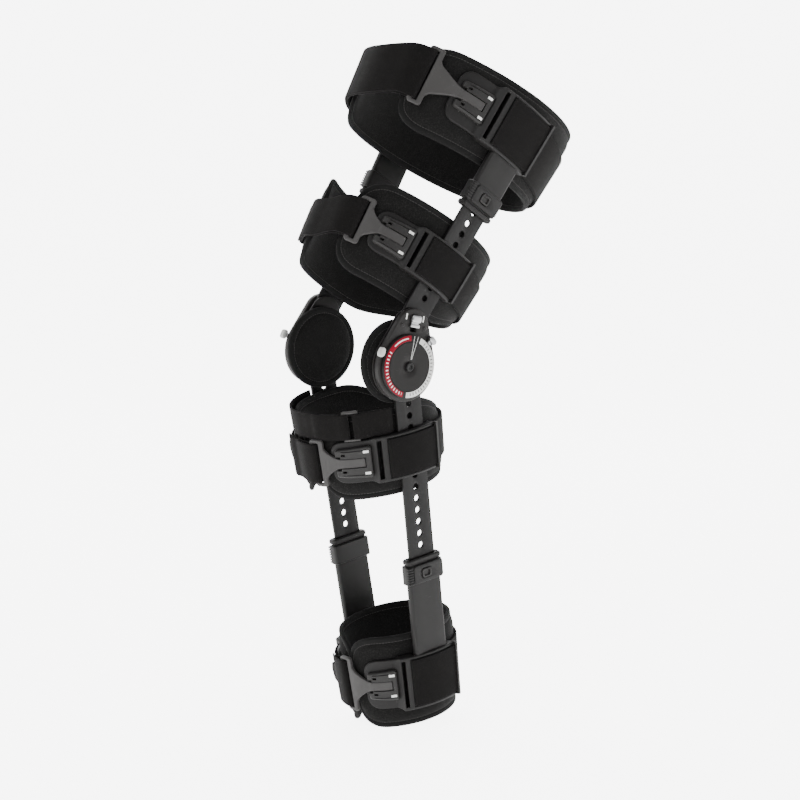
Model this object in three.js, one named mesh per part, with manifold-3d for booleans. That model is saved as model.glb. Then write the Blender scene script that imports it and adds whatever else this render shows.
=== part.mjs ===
// Hinged post-operative knee brace: four padded cuffs on two telescoping
// uprights, joined by a pair of geared hinge heads with setting dials.
// Millimetres, +Z up, +X the outer side, -Y the front.
// The origin is the knee centre, midway between the two dials.
import * as THREE from 'three';
import { mergeVertices } from 'three/addons/utils/BufferGeometryUtils.js';
import Module from 'manifold-3d';

const wasm = await Module();
wasm.setup();

// Pose: degrees each frame leans from upright
const THIGH_LEAN = 34;
const CALF_LEAN = 8.5;
const HEAD_LEAN = 12.75;

// Hinge heads, heights along the head axis from the dial centre
const PIVOT_HIGH = 36;
const PIVOT_LOW = 6;
const PIN_R = 4;
const CLEAR = 0.3;
const BACK_PLATE = { x0: 64, x1: 66 };
const COVER = { x0: 69.6, x1: 75.6, lowR: 34, highR: 19 };
const WAIST_POST = { y: 21.5, z: 21, r: 3.2 };
const DIAL = { x1: 80, r: 30.5, rimStep: 1.2 };
const SCREW = { r: 4.2, rise: 1.6 };
const LOCK = { width: 14, height: 12, z: 43, rise: 4, keyWidth: 7, keyDepth: 2.5, travel: 4 };
const TAB = { r0: 31.2, r1: 39, half: 9, x1: 78.6, knobR: 4.4, knobRise: 2.6 };
const FRONT_TAB_ANGLE = -75;
const BACK_TAB_ANGLE = 39;
const CONDYLE = { x0: 54, x1: 63.7, r: 40, y: -2, z: 3, bevel: 3.5 };

// Uprights
const BAR = { x: 66.3, thick: 3, width: 30, endR: 14.7, holeR: 3.15, pitch: 11.9 };
const BEND_LAP = 1.5;
const THIGH_BAR = { bend: 24, top: 200, splay: 5.3, holes: 9, firstHole: 32.8 };
const CALF_BAR = { bend: -36, top: -252, splay: 2.8, holes: 13, firstHole: -43.4 };

// Cuff layers, distances out from the inside face of the pad
const PAD = 8;
const PAD_RIM = 5;
const PAD_BORDER = 8;
const PLATE_SKIN = 3;
const RAIL = { width: 3.2, rise: 1.4 };
const STRAP = { thick: 2.2, lift: 0.9, ramp: 30, dip: 4.4 };
const SLEEVE = { half: 19, wall: 2, lip: 2, lipOver: 1.6 };
const CLIP = { start: 6.5, length: 19, wall: 2, grow: 2.2 };
const BUTTON = { half: 5.5, length: 9, rise: 0.9, depth: 2 };

// Stations along the cuff girth, measured forward of the upright
const PLATE_BACK = 27;
const SLOT = { from: 33, to: 38 };
const PIN_BACK = 28;
const CATCH = { from: 43, to: 77, half: 16, rise: 4.6 };
const TONGUE = { tip: 49, root: 72, half: 4.6 };
const HOOK = { thick: 3, over: 4, bar: 5, slot: 5 };
const PORTAL = { deep: 2.6, rise: 1.3 };

// One row per cuff: centre height on its upright, half depth, shift to the
// back, half width of its straps, pad height above and below, how far the back
// of the pad is cut away above and below, how far the pad's edges rise to the
// back, station of the pad's front end and of the hook's loop, and how far the
// front strap sags. reach scales the other stations. mouth is the height of the
// sleeve's open end, 0 without a sleeve.
const CUFFS = [
  { name: 'upper_thigh', upright: 'thigh', z: 214, depth: 108, shift: -10, strap: 25.4, up: 44, down: 43,
    cutUp: 0, cutDown: 0, tilt: 10, front: 127, loop: 104, sag: 9, reach: 1, mouth: 127.5 },
  { name: 'lower_thigh', upright: 'thigh', z: 65, depth: 85, shift: -5, strap: 19, up: 47, down: 46,
    cutUp: 0, cutDown: 16, tilt: 2, front: 112, loop: 88, sag: 8, reach: 1, mouth: 0 },
  { name: 'upper_calf', upright: 'calf', z: -91, depth: 63.5, shift: 0, strap: 19.5, up: 45, down: 40,
    cutUp: 18, cutDown: 0, tilt: 0, front: 101, loop: 88, sag: 0, reach: 1, mouth: 0 },
  { name: 'lower_calf', upright: 'calf', z: -323, depth: 51, shift: 2, strap: 24.5, up: 48, down: 48,
    cutUp: 0, cutDown: 0, tilt: 0, front: 92, loop: 80, sag: 0, reach: 0.84, mouth: -197.5 },
];
const PAD_ROUND = 40;

// Second strap of the upper calf cuff, above the main one
const TIBIAL = { height: 36, half: 12.5, end: 19, lead: 12 };
const RING = { from: 51, to: 66, wall: 2, bar: 3.2 };

const rad = THREE.MathUtils.degToRad;
const X_OUT = new THREE.Matrix4().makeBasis(
  new THREE.Vector3(0, 1, 0), new THREE.Vector3(0, 0, 1), new THREE.Vector3(1, 0, 0));

function solid(points, faces) {
  const mesh = new wasm.Mesh({
    numProp: 3,
    vertProperties: new Float32Array(points),
    triVerts: new Uint32Array(faces),
  });
  mesh.merge();
  return new wasm.Manifold(mesh);
}

function solidOf(geometry) {
  const bare = geometry.clone();
  bare.deleteAttribute('normal');
  bare.deleteAttribute('uv');
  const welded = mergeVertices(bare, 1e-4);
  return solid(welded.attributes.position.array, welded.index.array);
}

function geometryOf(manifold) {
  const mesh = manifold.getMesh();
  const geometry = new THREE.BufferGeometry();
  geometry.setAttribute('position', new THREE.BufferAttribute(new Float32Array(mesh.vertProperties), 3));
  geometry.setIndex(new THREE.BufferAttribute(new Uint32Array(mesh.triVerts), 1));
  const flat = geometry.toNonIndexed();
  flat.computeVertexNormals();
  return flat;
}

const joined = (list) => list.reduce((sum, next) => sum.add(next));
const cutBy = (body, list) => list.reduce((rest, next) => rest.subtract(next), body);

function node(parent, name, body, look) {
  const mesh = new THREE.Mesh(geometryOf(body), new THREE.MeshStandardMaterial(look));
  mesh.name = name;
  parent.add(mesh);
}

// Flat outline in the side plane (y, z), thickened along x
function sidePlate(outline, x0, x1, holes = []) {
  const shape = new THREE.Shape(outline);
  for (const hole of holes) {
    shape.holes.push(new THREE.Path(hole));
  }
  const geometry = new THREE.ExtrudeGeometry(shape, { depth: x1 - x0, bevelEnabled: false });
  geometry.applyMatrix4(X_OUT);
  geometry.translate(x0, 0, 0);
  return solidOf(geometry);
}

function circle(y, z, r, count) {
  const points = [];
  for (let i = 0; i < count; i += 1) {
    const turn = (i / count) * 2 * Math.PI;
    points.push(new THREE.Vector2(y + r * Math.cos(turn), z + r * Math.sin(turn)));
  }
  return points;
}

// Outline round two circles on the head axis, the upper one smaller
function egg(lowR, highR, highZ, count) {
  const lean = Math.asin((lowR - highR) / highZ);
  const points = [];
  for (let i = 0; i <= count; i += 1) {
    const turn = lean + (i / count) * (Math.PI - 2 * lean);
    points.push(new THREE.Vector2(highR * Math.cos(turn), highZ + highR * Math.sin(turn)));
  }
  for (let i = 0; i <= count; i += 1) {
    const turn = Math.PI - lean + (i / count) * (Math.PI + 2 * lean);
    points.push(new THREE.Vector2(lowR * Math.cos(turn), lowR * Math.sin(turn)));
  }
  return points;
}

function block(x0, x1, y0, y1, z0, z1, matrix) {
  const geometry = new THREE.BoxGeometry(x1 - x0, y1 - y0, z1 - z0);
  geometry.translate((x0 + x1) / 2, (y0 + y1) / 2, (z0 + z1) / 2);
  if (matrix) {
    geometry.applyMatrix4(matrix);
  }
  return solidOf(geometry);
}

// Block with its four long edges rounded, thick along x
function roundedBlock(x0, x1, halfY, z0, z1, r, matrix) {
  const points = [];
  const corners = [
    [halfY - r, z1 - r, 0], [r - halfY, z1 - r, 1], [r - halfY, z0 + r, 2], [halfY - r, z0 + r, 3],
  ];
  for (const [y, z, quarter] of corners) {
    for (let i = 0; i <= 2; i += 1) {
      const turn = (quarter + i / 2) * Math.PI / 2;
      points.push(new THREE.Vector2(y + r * Math.cos(turn), z + r * Math.sin(turn)));
    }
  }
  const body = sidePlate(points, x0, x1);
  return matrix ? body.transform(matrix.elements) : body;
}

// Frame of an upright past its bend: x from the bar's inside face, z along it
function barFrame(upright) {
  const bar = upright === 'thigh' ? THIGH_BAR : CALF_BAR;
  const matrix = new THREE.Matrix4().makeRotationY(rad(bar.splay));
  matrix.setPosition(BAR.x, 0, bar.bend);
  return matrix;
}

function barBody(bar, upright) {
  const sign = Math.sign(bar.top);
  const half = BAR.width / 2;
  const flat = [];
  for (let i = 0; i <= 9; i += 1) {
    const turn = Math.PI + (i / 9) * Math.PI;
    flat.push(new THREE.Vector2(BAR.endR * Math.cos(turn), sign * BAR.endR * Math.sin(turn)));
  }
  flat.push(new THREE.Vector2(half, sign * 6));
  flat.push(new THREE.Vector2(half, bar.bend));
  flat.push(new THREE.Vector2(-half, bar.bend));
  flat.push(new THREE.Vector2(-half, sign * 6));
  const holes = [];
  for (let i = 0; i < bar.holes; i += 1) {
    const z = bar.firstHole + sign * BAR.pitch * i - bar.bend;
    holes.push(circle(0, z, BAR.holeR, 6));
  }
  const [low, high] = [-sign * BEND_LAP, bar.top - bar.bend].sort((a, b) => a - b);
  const strip = [
    new THREE.Vector2(-half, low), new THREE.Vector2(half, low),
    new THREE.Vector2(half, high), new THREE.Vector2(-half, high),
  ];
  const straight = sidePlate(strip, 0, BAR.thick, holes).transform(barFrame(upright).elements);
  const eye = sidePlate(flat, BAR.x, BAR.x + BAR.thick, [circle(0, 0, PIN_R + CLEAR, 10)]);
  return eye.add(straight);
}

// Cuff surface: oval section of the hollow, growing with the upright's splay
function makeCuff(row) {
  const bar = row.upright === 'thigh' ? THIGH_BAR : CALF_BAR;
  const flare = Math.tan(rad(bar.splay));
  const under = row.mouth ? SLEEVE.wall + 2 * CLEAR : CLEAR;
  const width = BAR.x + flare * (row.z - bar.bend) - under - PAD;
  const at = (degrees, out, height) => {
    const turn = rad(degrees);
    const nx = Math.cos(turn) / width;
    const ny = Math.sin(turn) / row.depth;
    const far = (out + flare * height) / Math.hypot(nx, ny);
    return [
      width * Math.cos(turn) + nx * far,
      row.shift + row.depth * Math.sin(turn) + ny * far,
      row.z + height,
    ];
  };
  const origin = THREE.MathUtils.radToDeg(Math.asin(-row.shift / (row.depth + PAD)));
  const lengths = [0];
  for (let i = 1; i <= 360; i += 1) {
    const [x0, y0] = at(origin + i - 1, PAD + PLATE_SKIN, 0);
    const [x1, y1] = at(origin + i, PAD + PLATE_SKIN, 0);
    lengths.push(lengths[i - 1] + Math.hypot(x1 - x0, y1 - y0));
  }
  const girth = lengths[360];
  const turnAt = (station) => {
    const laps = Math.floor(station / girth);
    const rest = station - laps * girth;
    let i = 1;
    while (i < 360 && lengths[i] < rest) {
      i += 1;
    }
    const part = (rest - lengths[i - 1]) / (lengths[i] - lengths[i - 1]);
    return origin + 360 * laps + i - 1 + part;
  };
  const opposite = 180 - 2 * origin;
  const whole = Math.floor(opposite);
  const behind = lengths[whole] + (opposite - whole) * (lengths[whole + 1] - lengths[whole]);
  return { ...row, at, turnAt, behind, ahead: girth - behind, crown: PAD + (row.mouth ? 9.4 : 7.4) };
}

// Closed slab over girth stations and height fractions of a cuff
function wrap(cuff, stations, rows, edge, inner, outer) {
  const points = [];
  const faces = [];
  const across = rows.length;
  const id = (i, j, side) => (side * stations.length + i) * across + j;
  for (const out of [inner, outer]) {
    for (const station of stations) {
      const [low, high] = edge(station);
      for (const part of rows) {
        const height = low + part * (high - low);
        points.push(...cuff.at(cuff.turnAt(station), out(station, height, part), height));
      }
    }
  }
  const quad = (a, b, c, d) => faces.push(a, b, c, a, c, d);
  for (let i = 0; i + 1 < stations.length; i += 1) {
    for (let j = 0; j + 1 < across; j += 1) {
      quad(id(i, j, 1), id(i + 1, j, 1), id(i + 1, j + 1, 1), id(i, j + 1, 1));
      quad(id(i, j, 0), id(i, j + 1, 0), id(i + 1, j + 1, 0), id(i + 1, j, 0));
    }
    const top = across - 1;
    quad(id(i, 0, 1), id(i, 0, 0), id(i + 1, 0, 0), id(i + 1, 0, 1));
    quad(id(i, top, 1), id(i + 1, top, 1), id(i + 1, top, 0), id(i, top, 0));
  }
  const last = stations.length - 1;
  for (let j = 0; j + 1 < across; j += 1) {
    quad(id(0, j, 1), id(0, j + 1, 1), id(0, j + 1, 0), id(0, j, 0));
    quad(id(last, j, 1), id(last, j, 0), id(last, j + 1, 0), id(last, j + 1, 1));
  }
  return solid(points, faces);
}

const spread = (from, to, count) =>
  Array.from({ length: count + 1 }, (_, i) => from + ((to - from) * i) / count);
const ease = (value) => {
  const t = Math.min(1, Math.max(0, value));
  return t * t * (3 - 2 * t);
};

const LOOKS = {
  foam: { color: 0x191918, roughness: 0.95, metalness: 0 },
  webbing: { color: 0x232120, roughness: 0.9, metalness: 0 },
  shell: { color: 0x464241, roughness: 0.55, metalness: 0 },
  buckle: { color: 0x585452, roughness: 0.5, metalness: 0 },
  upright: { color: 0x2c2b2a, roughness: 0.45, metalness: 0.6 },
  head: { color: 0x2a2928, roughness: 0.5, metalness: 0 },
  dial: { color: 0x262525, roughness: 0.45, metalness: 0 },
  bright: { color: 0xb9bcc0, roughness: 0.3, metalness: 0.9 },
  white: { color: 0xd7d7d2, roughness: 0.5, metalness: 0 },
};

function padBody(cuff) {
  const end = cuff.front;
  const half = cuff.behind;
  const stations = [
    ...[0, 2.5, 9, 20, 40].map((step) => step - end),
    ...spread(58 - end, half + end - 58, 11),
    ...[40, 20, 9, 2.5, 0].map((step) => half + end - step),
  ];
  const fill = (station) => {
    const inset = Math.min(station + end, half + end - station) / PAD_ROUND;
    const t = 1 - Math.min(1, inset);
    return 0.3 + 0.7 * (1 - t ** 2.4) ** (1 / 2.4);
  };
  const behind = (station) => {
    const away = Math.abs(station - half / 2) / (half / 2);
    return 1 - ease((away - 0.25) / 0.6);
  };
  const edge = (station) => {
    const rise = cuff.tilt * Math.sin(rad(cuff.turnAt(station)));
    return [
      rise - cuff.down * fill(station) + cuff.cutDown * behind(station),
      rise + cuff.up * fill(station) - cuff.cutUp * behind(station),
    ];
  };
  const border = PAD_BORDER / (cuff.up + cuff.down);
  const rows = [0, border, 1 - border, 1];
  const outer = (station, height, part) => {
    const atEnd = station === stations[0] || station === stations[stations.length - 1];
    return part === 0 || part === 1 || atEnd ? PAD_RIM : PAD;
  };
  return wrap(cuff, stations, rows, edge, () => 0, outer);
}

function plateBody(cuff) {
  const front = -(CATCH.to + 5) * cuff.reach;
  const rise = -(SLOT.to + 1) * cuff.reach;
  const full = cuff.strap + RAIL.width;
  const tall = [
    [front, 0.5 * full], [front + 5, 0.78 * full], [front + 14, 0.9 * full],
    [rise - 2, 0.92 * full], [rise, full], [PLATE_BACK, full],
  ];
  const pinBack = -PIN_BACK * cuff.reach;
  const stations = [
    front, front + 5, front + 14, -57 * cuff.reach, rise - 2, rise, pinBack, -14, 0, 14, PLATE_BACK,
  ];
  const halfAt = (station) => {
    let i = 1;
    while (i < tall.length - 1 && tall[i][0] < station) {
      i += 1;
    }
    const part = (station - tall[i - 1][0]) / (tall[i][0] - tall[i - 1][0]);
    return tall[i - 1][1] + Math.min(1, part) * (tall[i][1] - tall[i - 1][1]);
  };
  const edge = (station) => [-halfAt(station), halfAt(station)];
  const outer = (station) => (station <= rise - 2 ? PAD + PLATE_SKIN : cuff.crown);
  const body = wrap(cuff, stations, [0, 1], edge, () => PAD + 2 * CLEAR, outer);
  const ridge = (along, low, high) => wrap(cuff, along, [0, 1], () => [low, high],
    () => cuff.crown - 1, () => cuff.crown + RAIL.rise);
  const railAt = stations.slice(stations.indexOf(rise));
  const rails = [
    ridge(railAt, full - RAIL.width + 0.6, full),
    ridge(railAt, -full, RAIL.width - 0.6 - full),
    ridge([rise, pinBack], -full, full),
  ];
  const roof = cuff.crown + STRAP.lift + STRAP.thick + CLEAR;
  const portalAt = [PLATE_BACK - PORTAL.deep, PLATE_BACK];
  const portal = wrap(cuff, portalAt, [0, 1], () => [-full, full],
    () => cuff.crown - 1, () => roof + PORTAL.rise);
  const pass = wrap(cuff, [PLATE_BACK - 6, PLATE_BACK + 4], [0, 1],
    () => [-cuff.strap - CLEAR, cuff.strap + CLEAR], () => cuff.crown, () => roof);
  const shell = joined([body, ...rails, portal.subtract(pass)]);
  const slotAt = [-SLOT.to, -SLOT.from].map((station) => station * cuff.reach);
  const slot = wrap(cuff, slotAt, [0, 1], () => [-cuff.strap, cuff.strap],
    () => PAD - 2, () => cuff.crown + 6);
  const matrix = barFrame(cuff.upright);
  const bar = cuff.upright === 'thigh' ? THIGH_BAR : CALF_BAR;
  const room = BAR.width / 2 + CLEAR;
  if (!cuff.mouth) {
    const middle = cuff.z - bar.bend;
    const channel = block(-8, BAR.thick + CLEAR, -room, room, middle - 60, middle + 60, matrix);
    return cutBy(shell, [slot, channel]);
  }
  const sign = Math.sign(bar.top);
  const x0 = -CLEAR - SLEEVE.wall;
  const x1 = BAR.thick + CLEAR + SLEEVE.wall;
  const mouth = cuff.mouth - bar.bend;
  const span = [mouth, cuff.z - sign * (cuff.strap + 1) - bar.bend].sort((a, b) => a - b);
  const rim = [mouth, mouth + sign * SLEEVE.lip].sort((a, b) => a - b);
  const bore = [mouth - sign * 5, bar.top + sign * 2 - bar.bend].sort((a, b) => a - b);
  const grown = SLEEVE.half + SLEEVE.lipOver;
  const tube = block(x0, x1, -SLEEVE.half, SLEEVE.half, span[0], span[1], matrix);
  const lip = block(x0 - SLEEVE.lipOver, x1 + SLEEVE.lipOver, -grown, grown, rim[0], rim[1], matrix);
  const room3 = block(-CLEAR, BAR.thick + CLEAR, -room, room, bore[0], bore[1], matrix);
  const [low, high] = clipSpan(cuff);
  const centre = (low + high) / 2;
  const window = block(BAR.thick, x1 + 6, -BUTTON.half - 0.4, BUTTON.half + 0.4,
    centre - BUTTON.length / 2 - 0.4, centre + BUTTON.length / 2 + 0.4, matrix);
  return cutBy(joined([shell, tube, lip]), [slot, room3, window]);
}

// Stretch of the sleeve, along its bar, that the clip band goes round
function clipSpan(cuff) {
  const bar = cuff.upright === 'thigh' ? THIGH_BAR : CALF_BAR;
  const sign = Math.sign(bar.top);
  const mouth = cuff.mouth - bar.bend;
  return [mouth + sign * CLIP.start, mouth + sign * (CLIP.start + CLIP.length)].sort((a, b) => a - b);
}

function clipBodies(cuff) {
  const matrix = barFrame(cuff.upright);
  const [low, high] = clipSpan(cuff);
  const x0 = -CLEAR - SLEEVE.wall - CLEAR;
  const x1 = BAR.thick + CLEAR + SLEEVE.wall + CLEAR;
  const half = SLEEVE.half + CLEAR;
  const centre = (low + high) / 2;
  const face = x1 + CLIP.grow;
  const ring = block(x0 - CLIP.wall, face, -half - CLIP.wall, half + CLIP.wall, low, high, matrix);
  const core = block(x0, x1, -half, half, low - 5, high + 5, matrix);
  const window = block(x1 - 1, face + 1, -BUTTON.half - 0.4, BUTTON.half + 0.4,
    centre - BUTTON.length / 2 - 0.4, centre + BUTTON.length / 2 + 0.4, matrix);
  const ribs = spread(low + 4, high - 4, 2).map((z) =>
    block(x1 + 0.5, face + 0.8, -half - CLIP.wall + 0.5, -half + 5, z - 1, z + 1, matrix));
  const band = joined([cutBy(ring, [core, window]), ...ribs]);
  const button = roundedBlock(face - BUTTON.depth, face + BUTTON.rise, BUTTON.half,
    centre - BUTTON.length / 2, centre + BUTTON.length / 2, 2.5, matrix);
  return { band, button };
}

function catchBody(cuff) {
  const [from, to] = [CATCH.from, CATCH.to].map((station) => station * cuff.reach);
  const base = PAD + PLATE_SKIN + CLEAR;
  const stations = [-to, -to + 4, ...spread(-to + 10, -from - 9, 2), -from - 3, -from];
  const edge = (station) => {
    const half = CATCH.half * (station === -to ? 0.75 : 1);
    return [-half, half];
  };
  const outer = (station, height, part) => {
    const low = station === -to || station === -from || part === 0 || part === 1;
    return base + CATCH.rise * (low ? 0.45 : 1);
  };
  const body = wrap(cuff, stations, [0, 0.1, 0.9, 1], edge, () => base, outer);
  const tip = -TONGUE.tip * cuff.reach + 0.5;
  const root = -TONGUE.root * cuff.reach + 0.5;
  const room = (a, b, half) => wrap(cuff, [a, (a + b) / 2, b], [0, 1], () => [-half, half],
    () => base - 2, () => base + 9);
  return cutBy(body, [room(-to - 4, root, 7.2), room(root - 1, tip, TONGUE.half + 0.5)]);
}

// Hook: tongue in the catch, widening to a yoke and a loop for the strap
function hookBody(cuff) {
  const inner = PAD + PLATE_SKIN + CLEAR;
  const wide = cuff.strap + HOOK.over;
  const root = -TONGUE.root * cuff.reach;
  const tip = -TONGUE.tip * cuff.reach;
  const rear = -cuff.loop - HOOK.bar;
  const slot = rear - HOOK.slot;
  const front = slot - HOOK.bar;
  const yoke = root - cuff.loop;
  const halves = [
    [front, wide - 2], [front + 2, wide], [slot, wide], [rear, wide], [-cuff.loop - 0.5, wide],
    [-cuff.loop, 0.55 * wide], [yoke / 2, 0.4 * wide], [root - 4, 6.5], [root, TONGUE.half],
    [(root + tip) / 2, TONGUE.half], [tip, TONGUE.half],
  ];
  const lookup = new Map(halves);
  const edge = (station) => [-lookup.get(station), lookup.get(station)];
  const stations = halves.map(([station]) => station);
  const body = wrap(cuff, stations, [0, 1], edge, () => inner, () => inner + HOOK.thick);
  const gap = wrap(cuff, [slot, rear], [0, 1], () => [-cuff.strap - 0.6, cuff.strap + 0.6],
    () => inner - 2, () => inner + 9);
  return body.subtract(gap);
}

// Rise of a strap from its dip at the open front on to the padded sides
function onPads(cuff, lift, lead) {
  const near = -cuff.front - lead;
  const far = -cuff.ahead - near;
  const { ramp, dip } = STRAP;
  const steps = [0, 0.35, 0.65, 1].map((part) => part * ramp);
  const breaks = steps.flatMap((step) => [near - step, far + step]);
  const height = (station) => {
    const climb = Math.max(ease((station - near + ramp) / ramp), ease((far + ramp - station) / ramp));
    return lift - dip * (1 - climb);
  };
  return { breaks, height };
}

// Values of a list within two limits, each once, rising
const inOrder = (list, low, high) =>
  [...new Set(list)].filter((v) => v >= low && v <= high).sort((a, b) => a - b);

// Front strap: folded round the hook's front bar, across the front, and
// down over the far plate to its slot
function frontStrapBody(cuff) {
  const k = cuff.reach;
  const base = PAD + PLATE_SKIN;
  const rear = -cuff.loop - HOOK.bar - HOOK.slot;
  const bar = { from: rear - HOOK.bar, to: rear, low: base, high: base + HOOK.thick + 2 * CLEAR };
  const farEnd = -cuff.ahead + (SLOT.to + 1) * k + 3;
  const farPlate = -cuff.ahead + (CATCH.to + 5) * k;
  const pads = onPads(cuff, PAD + STRAP.lift, 1);
  const under = (station) => pads.height(station) + ease((farPlate + 10 - station) / 9) * PLATE_SKIN;
  const doubled = (station) => ease((station - (bar.from - 60)) / 6) * 1.8;
  const turn = bar.to + CLEAR + STRAP.thick;
  const last = bar.from - 5.2;
  const along = [...spread(farEnd, last, 12), ...pads.breaks, farPlate + 10, farPlate + 1, last - 5];
  const stations = inOrder(along, farEnd, last);
  const out = (station) => {
    const lift = ease((station - (last - 6)) / 6);
    const plain = under(station) + STRAP.thick + doubled(station);
    return plain + lift * (bar.high + STRAP.thick - plain);
  };
  const middle = (farEnd + bar.from) / 2;
  const sag = (station) => {
    const away = Math.abs(station - middle) / (bar.from - 4 - middle);
    return -cuff.sag * (1 - ease((away - 0.35) / 0.65));
  };
  const edge = (station) => [sag(station) - cuff.strap, sag(station) + cuff.strap];
  const inner = (station) => (station > last ? PAD + STRAP.lift : under(station));
  const outer = (station) => (station > last ? bar.high + STRAP.thick : out(station));
  const body = wrap(cuff, [...stations, bar.from, turn], [0, 1], edge, inner, outer);
  const eye = wrap(cuff, [bar.from - CLEAR, bar.to + CLEAR], [0, 1],
    () => [-cuff.strap - 5, cuff.strap + 5], () => bar.low, () => bar.high);
  return body.subtract(eye);
}

// Back strap: from one plate pin over the plate, round the back of the pad
// and over the other plate
function backStrapBody(cuff) {
  const half = cuff.behind;
  const start = -PIN_BACK * cuff.reach + CLEAR;
  const on = cuff.crown + STRAP.lift;
  const off = PAD + STRAP.lift;
  const drop = (station) => {
    const near = Math.min(station, half - station);
    return on + (off - on) * ease((near - PLATE_BACK - 1) / 10);
  };
  const lead = [...spread(start, PLATE_BACK + 1, 4), PLATE_BACK + 4, PLATE_BACK + 8, PLATE_BACK + 11];
  const stations = [
    ...lead,
    ...spread(PLATE_BACK + 20, half - PLATE_BACK - 20, 12),
    ...lead.slice().reverse().map((v) => half - v),
  ];
  const edge = () => [-cuff.strap, cuff.strap];
  return wrap(cuff, stations, [0, 1], edge, drop, (station) => drop(station) + STRAP.thick);
}

// Tibial strap and its ring: the strap turns round both bars of the ring
function tibialBodies(cuff) {
  const far = -cuff.ahead + TIBIAL.end;
  const lift = PAD + STRAP.lift;
  const { breaks, height: under } = onPads(cuff, lift, 0);
  const stations = inOrder([...spread(far, -TIBIAL.end, 18), ...breaks], far, -TIBIAL.end);
  const middle = TIBIAL.height;
  const band = (half) => () => [middle - half, middle + half];
  const plain = wrap(cuff, stations, [0, 1], band(TIBIAL.half), under,
    (station) => under(station) + STRAP.thick);
  const from = -RING.to;
  const to = -RING.from;
  const low = lift + STRAP.thick + CLEAR;
  const high = low + RING.wall;
  const fold = STRAP.thick + CLEAR;
  const turned = (stationsOf, thin) => wrap(cuff, stationsOf, [0, 1], band(TIBIAL.half),
    () => low - 1, (station) => (station === thin ? low + 0.4 : high + fold));
  const eye = (a, b) => wrap(cuff, [a - CLEAR, b + CLEAR], [0, 1],
    band(TIBIAL.half + 3), () => low - CLEAR, () => high + CLEAR);
  const frontBar = [from, from + RING.bar];
  const backBar = [to - RING.bar, to];
  const start = from - TIBIAL.lead;
  const end = to + TIBIAL.lead;
  const loops = [
    turned([start, from - 2, frontBar[1] + fold], start),
    turned([backBar[0] - fold, to + 2, end], end),
  ];
  const strap = cutBy(joined([plain, ...loops]), [eye(...frontBar), eye(...backBar)]);
  const tall = TIBIAL.half + CLEAR + RING.wall;
  const across = (lead) => [from - lead, (from + to) / 2, to + lead];
  const frame = wrap(cuff, across(0), [0, 1], band(tall), () => lift, () => high);
  const pass = wrap(cuff, across(3), [0, 1], band(TIBIAL.half + CLEAR), () => lift - 3, () => low);
  const window = wrap(cuff, across(-RING.bar), [0, 1], band(TIBIAL.half + CLEAR),
    () => low - 2, () => high + 5);
  return { strap, ring: cutBy(frame, [pass, window]) };
}

function headBody() {
  const outline = (grow) => egg(COVER.lowR - grow, COVER.highR - grow, PIVOT_HIGH, 9);
  const back = sidePlate(outline(1.5), BACK_PLATE.x0, BACK_PLATE.x1);
  const room = LOCK.keyWidth / 2 + CLEAR;
  const slot = block(COVER.x1 - LOCK.keyDepth - CLEAR, COVER.x1 + 1, -room, room,
    LOCK.z - LOCK.height / 2 - LOCK.travel, LOCK.z + LOCK.height / 2);
  const cover = cutBy(sidePlate(outline(0), COVER.x0, COVER.x1), [slot]);
  const posts = [-1, 1].map((side) => sidePlate(
    circle(side * WAIST_POST.y, WAIST_POST.z, WAIST_POST.r, 6), BACK_PLATE.x1 - 0.5, COVER.x0 + 0.5));
  const pins = [PIVOT_LOW, PIVOT_HIGH].map((z) => sidePlate(
    circle(0, z, PIN_R, 10), BACK_PLATE.x1 - 0.5, COVER.x0 + 0.5));
  const rivets = [-1, 1].map((side) => sidePlate(
    circle(side * 13.5, PIVOT_HIGH + 2, 2.2, 6), COVER.x1 - 1, COVER.x1 + 0.8));
  return joined([back, cover, ...posts, ...pins, ...rivets]);
}

function dialBody() {
  const base = COVER.x1 + CLEAR;
  const rim = sidePlate(circle(0, 0, DIAL.r, 26), base, DIAL.x1 - DIAL.rimStep);
  const face = sidePlate(circle(0, 0, DIAL.r - 1.6, 26), base + 1, DIAL.x1);
  return rim.add(face);
}

const screwBody = () => sidePlate(circle(0, 0, SCREW.r, 12), DIAL.x1 + CLEAR, DIAL.x1 + CLEAR + SCREW.rise);

function tabBody(angle) {
  const points = [];
  for (let i = 0; i <= 4; i += 1) {
    const turn = rad(90 - TAB.half + (i / 4) * 2 * TAB.half);
    points.push(new THREE.Vector2(TAB.r0 * Math.cos(turn), TAB.r0 * Math.sin(turn)));
  }
  for (let i = 4; i >= 0; i -= 1) {
    const turn = rad(90 - TAB.half + (i / 4) * 2 * TAB.half);
    points.push(new THREE.Vector2(TAB.r1 * Math.cos(turn), TAB.r1 * Math.sin(turn)));
  }
  const arm = sidePlate(points.reverse(), COVER.x1 + CLEAR, TAB.x1);
  const middle = (TAB.r0 + TAB.r1) / 2 + 0.6;
  const knob = sidePlate(circle(0, middle, TAB.knobR - 1, 10), TAB.x1 - 1, TAB.x1 + TAB.knobRise);
  return arm.add(knob).rotate([-angle, 0, 0]);
}

function lockBody() {
  const base = COVER.x1 + CLEAR;
  const low = LOCK.z - LOCK.height / 2;
  const high = LOCK.z + LOCK.height / 2;
  const grip = roundedBlock(base, base + LOCK.rise, LOCK.width / 2, low, high, 2);
  const keyHalf = LOCK.keyWidth / 2;
  const key = block(COVER.x1 - LOCK.keyDepth, base + 1, -keyHalf, keyHalf, low + 0.5, high - 0.5);
  const wide = LOCK.width / 2 + 1;
  const groove = block(base + LOCK.rise - 1.2, base + LOCK.rise + 1, -wide, wide, LOCK.z - 1.2, LOCK.z + 1.2);
  return cutBy(grip.add(key), [groove]);
}

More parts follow.
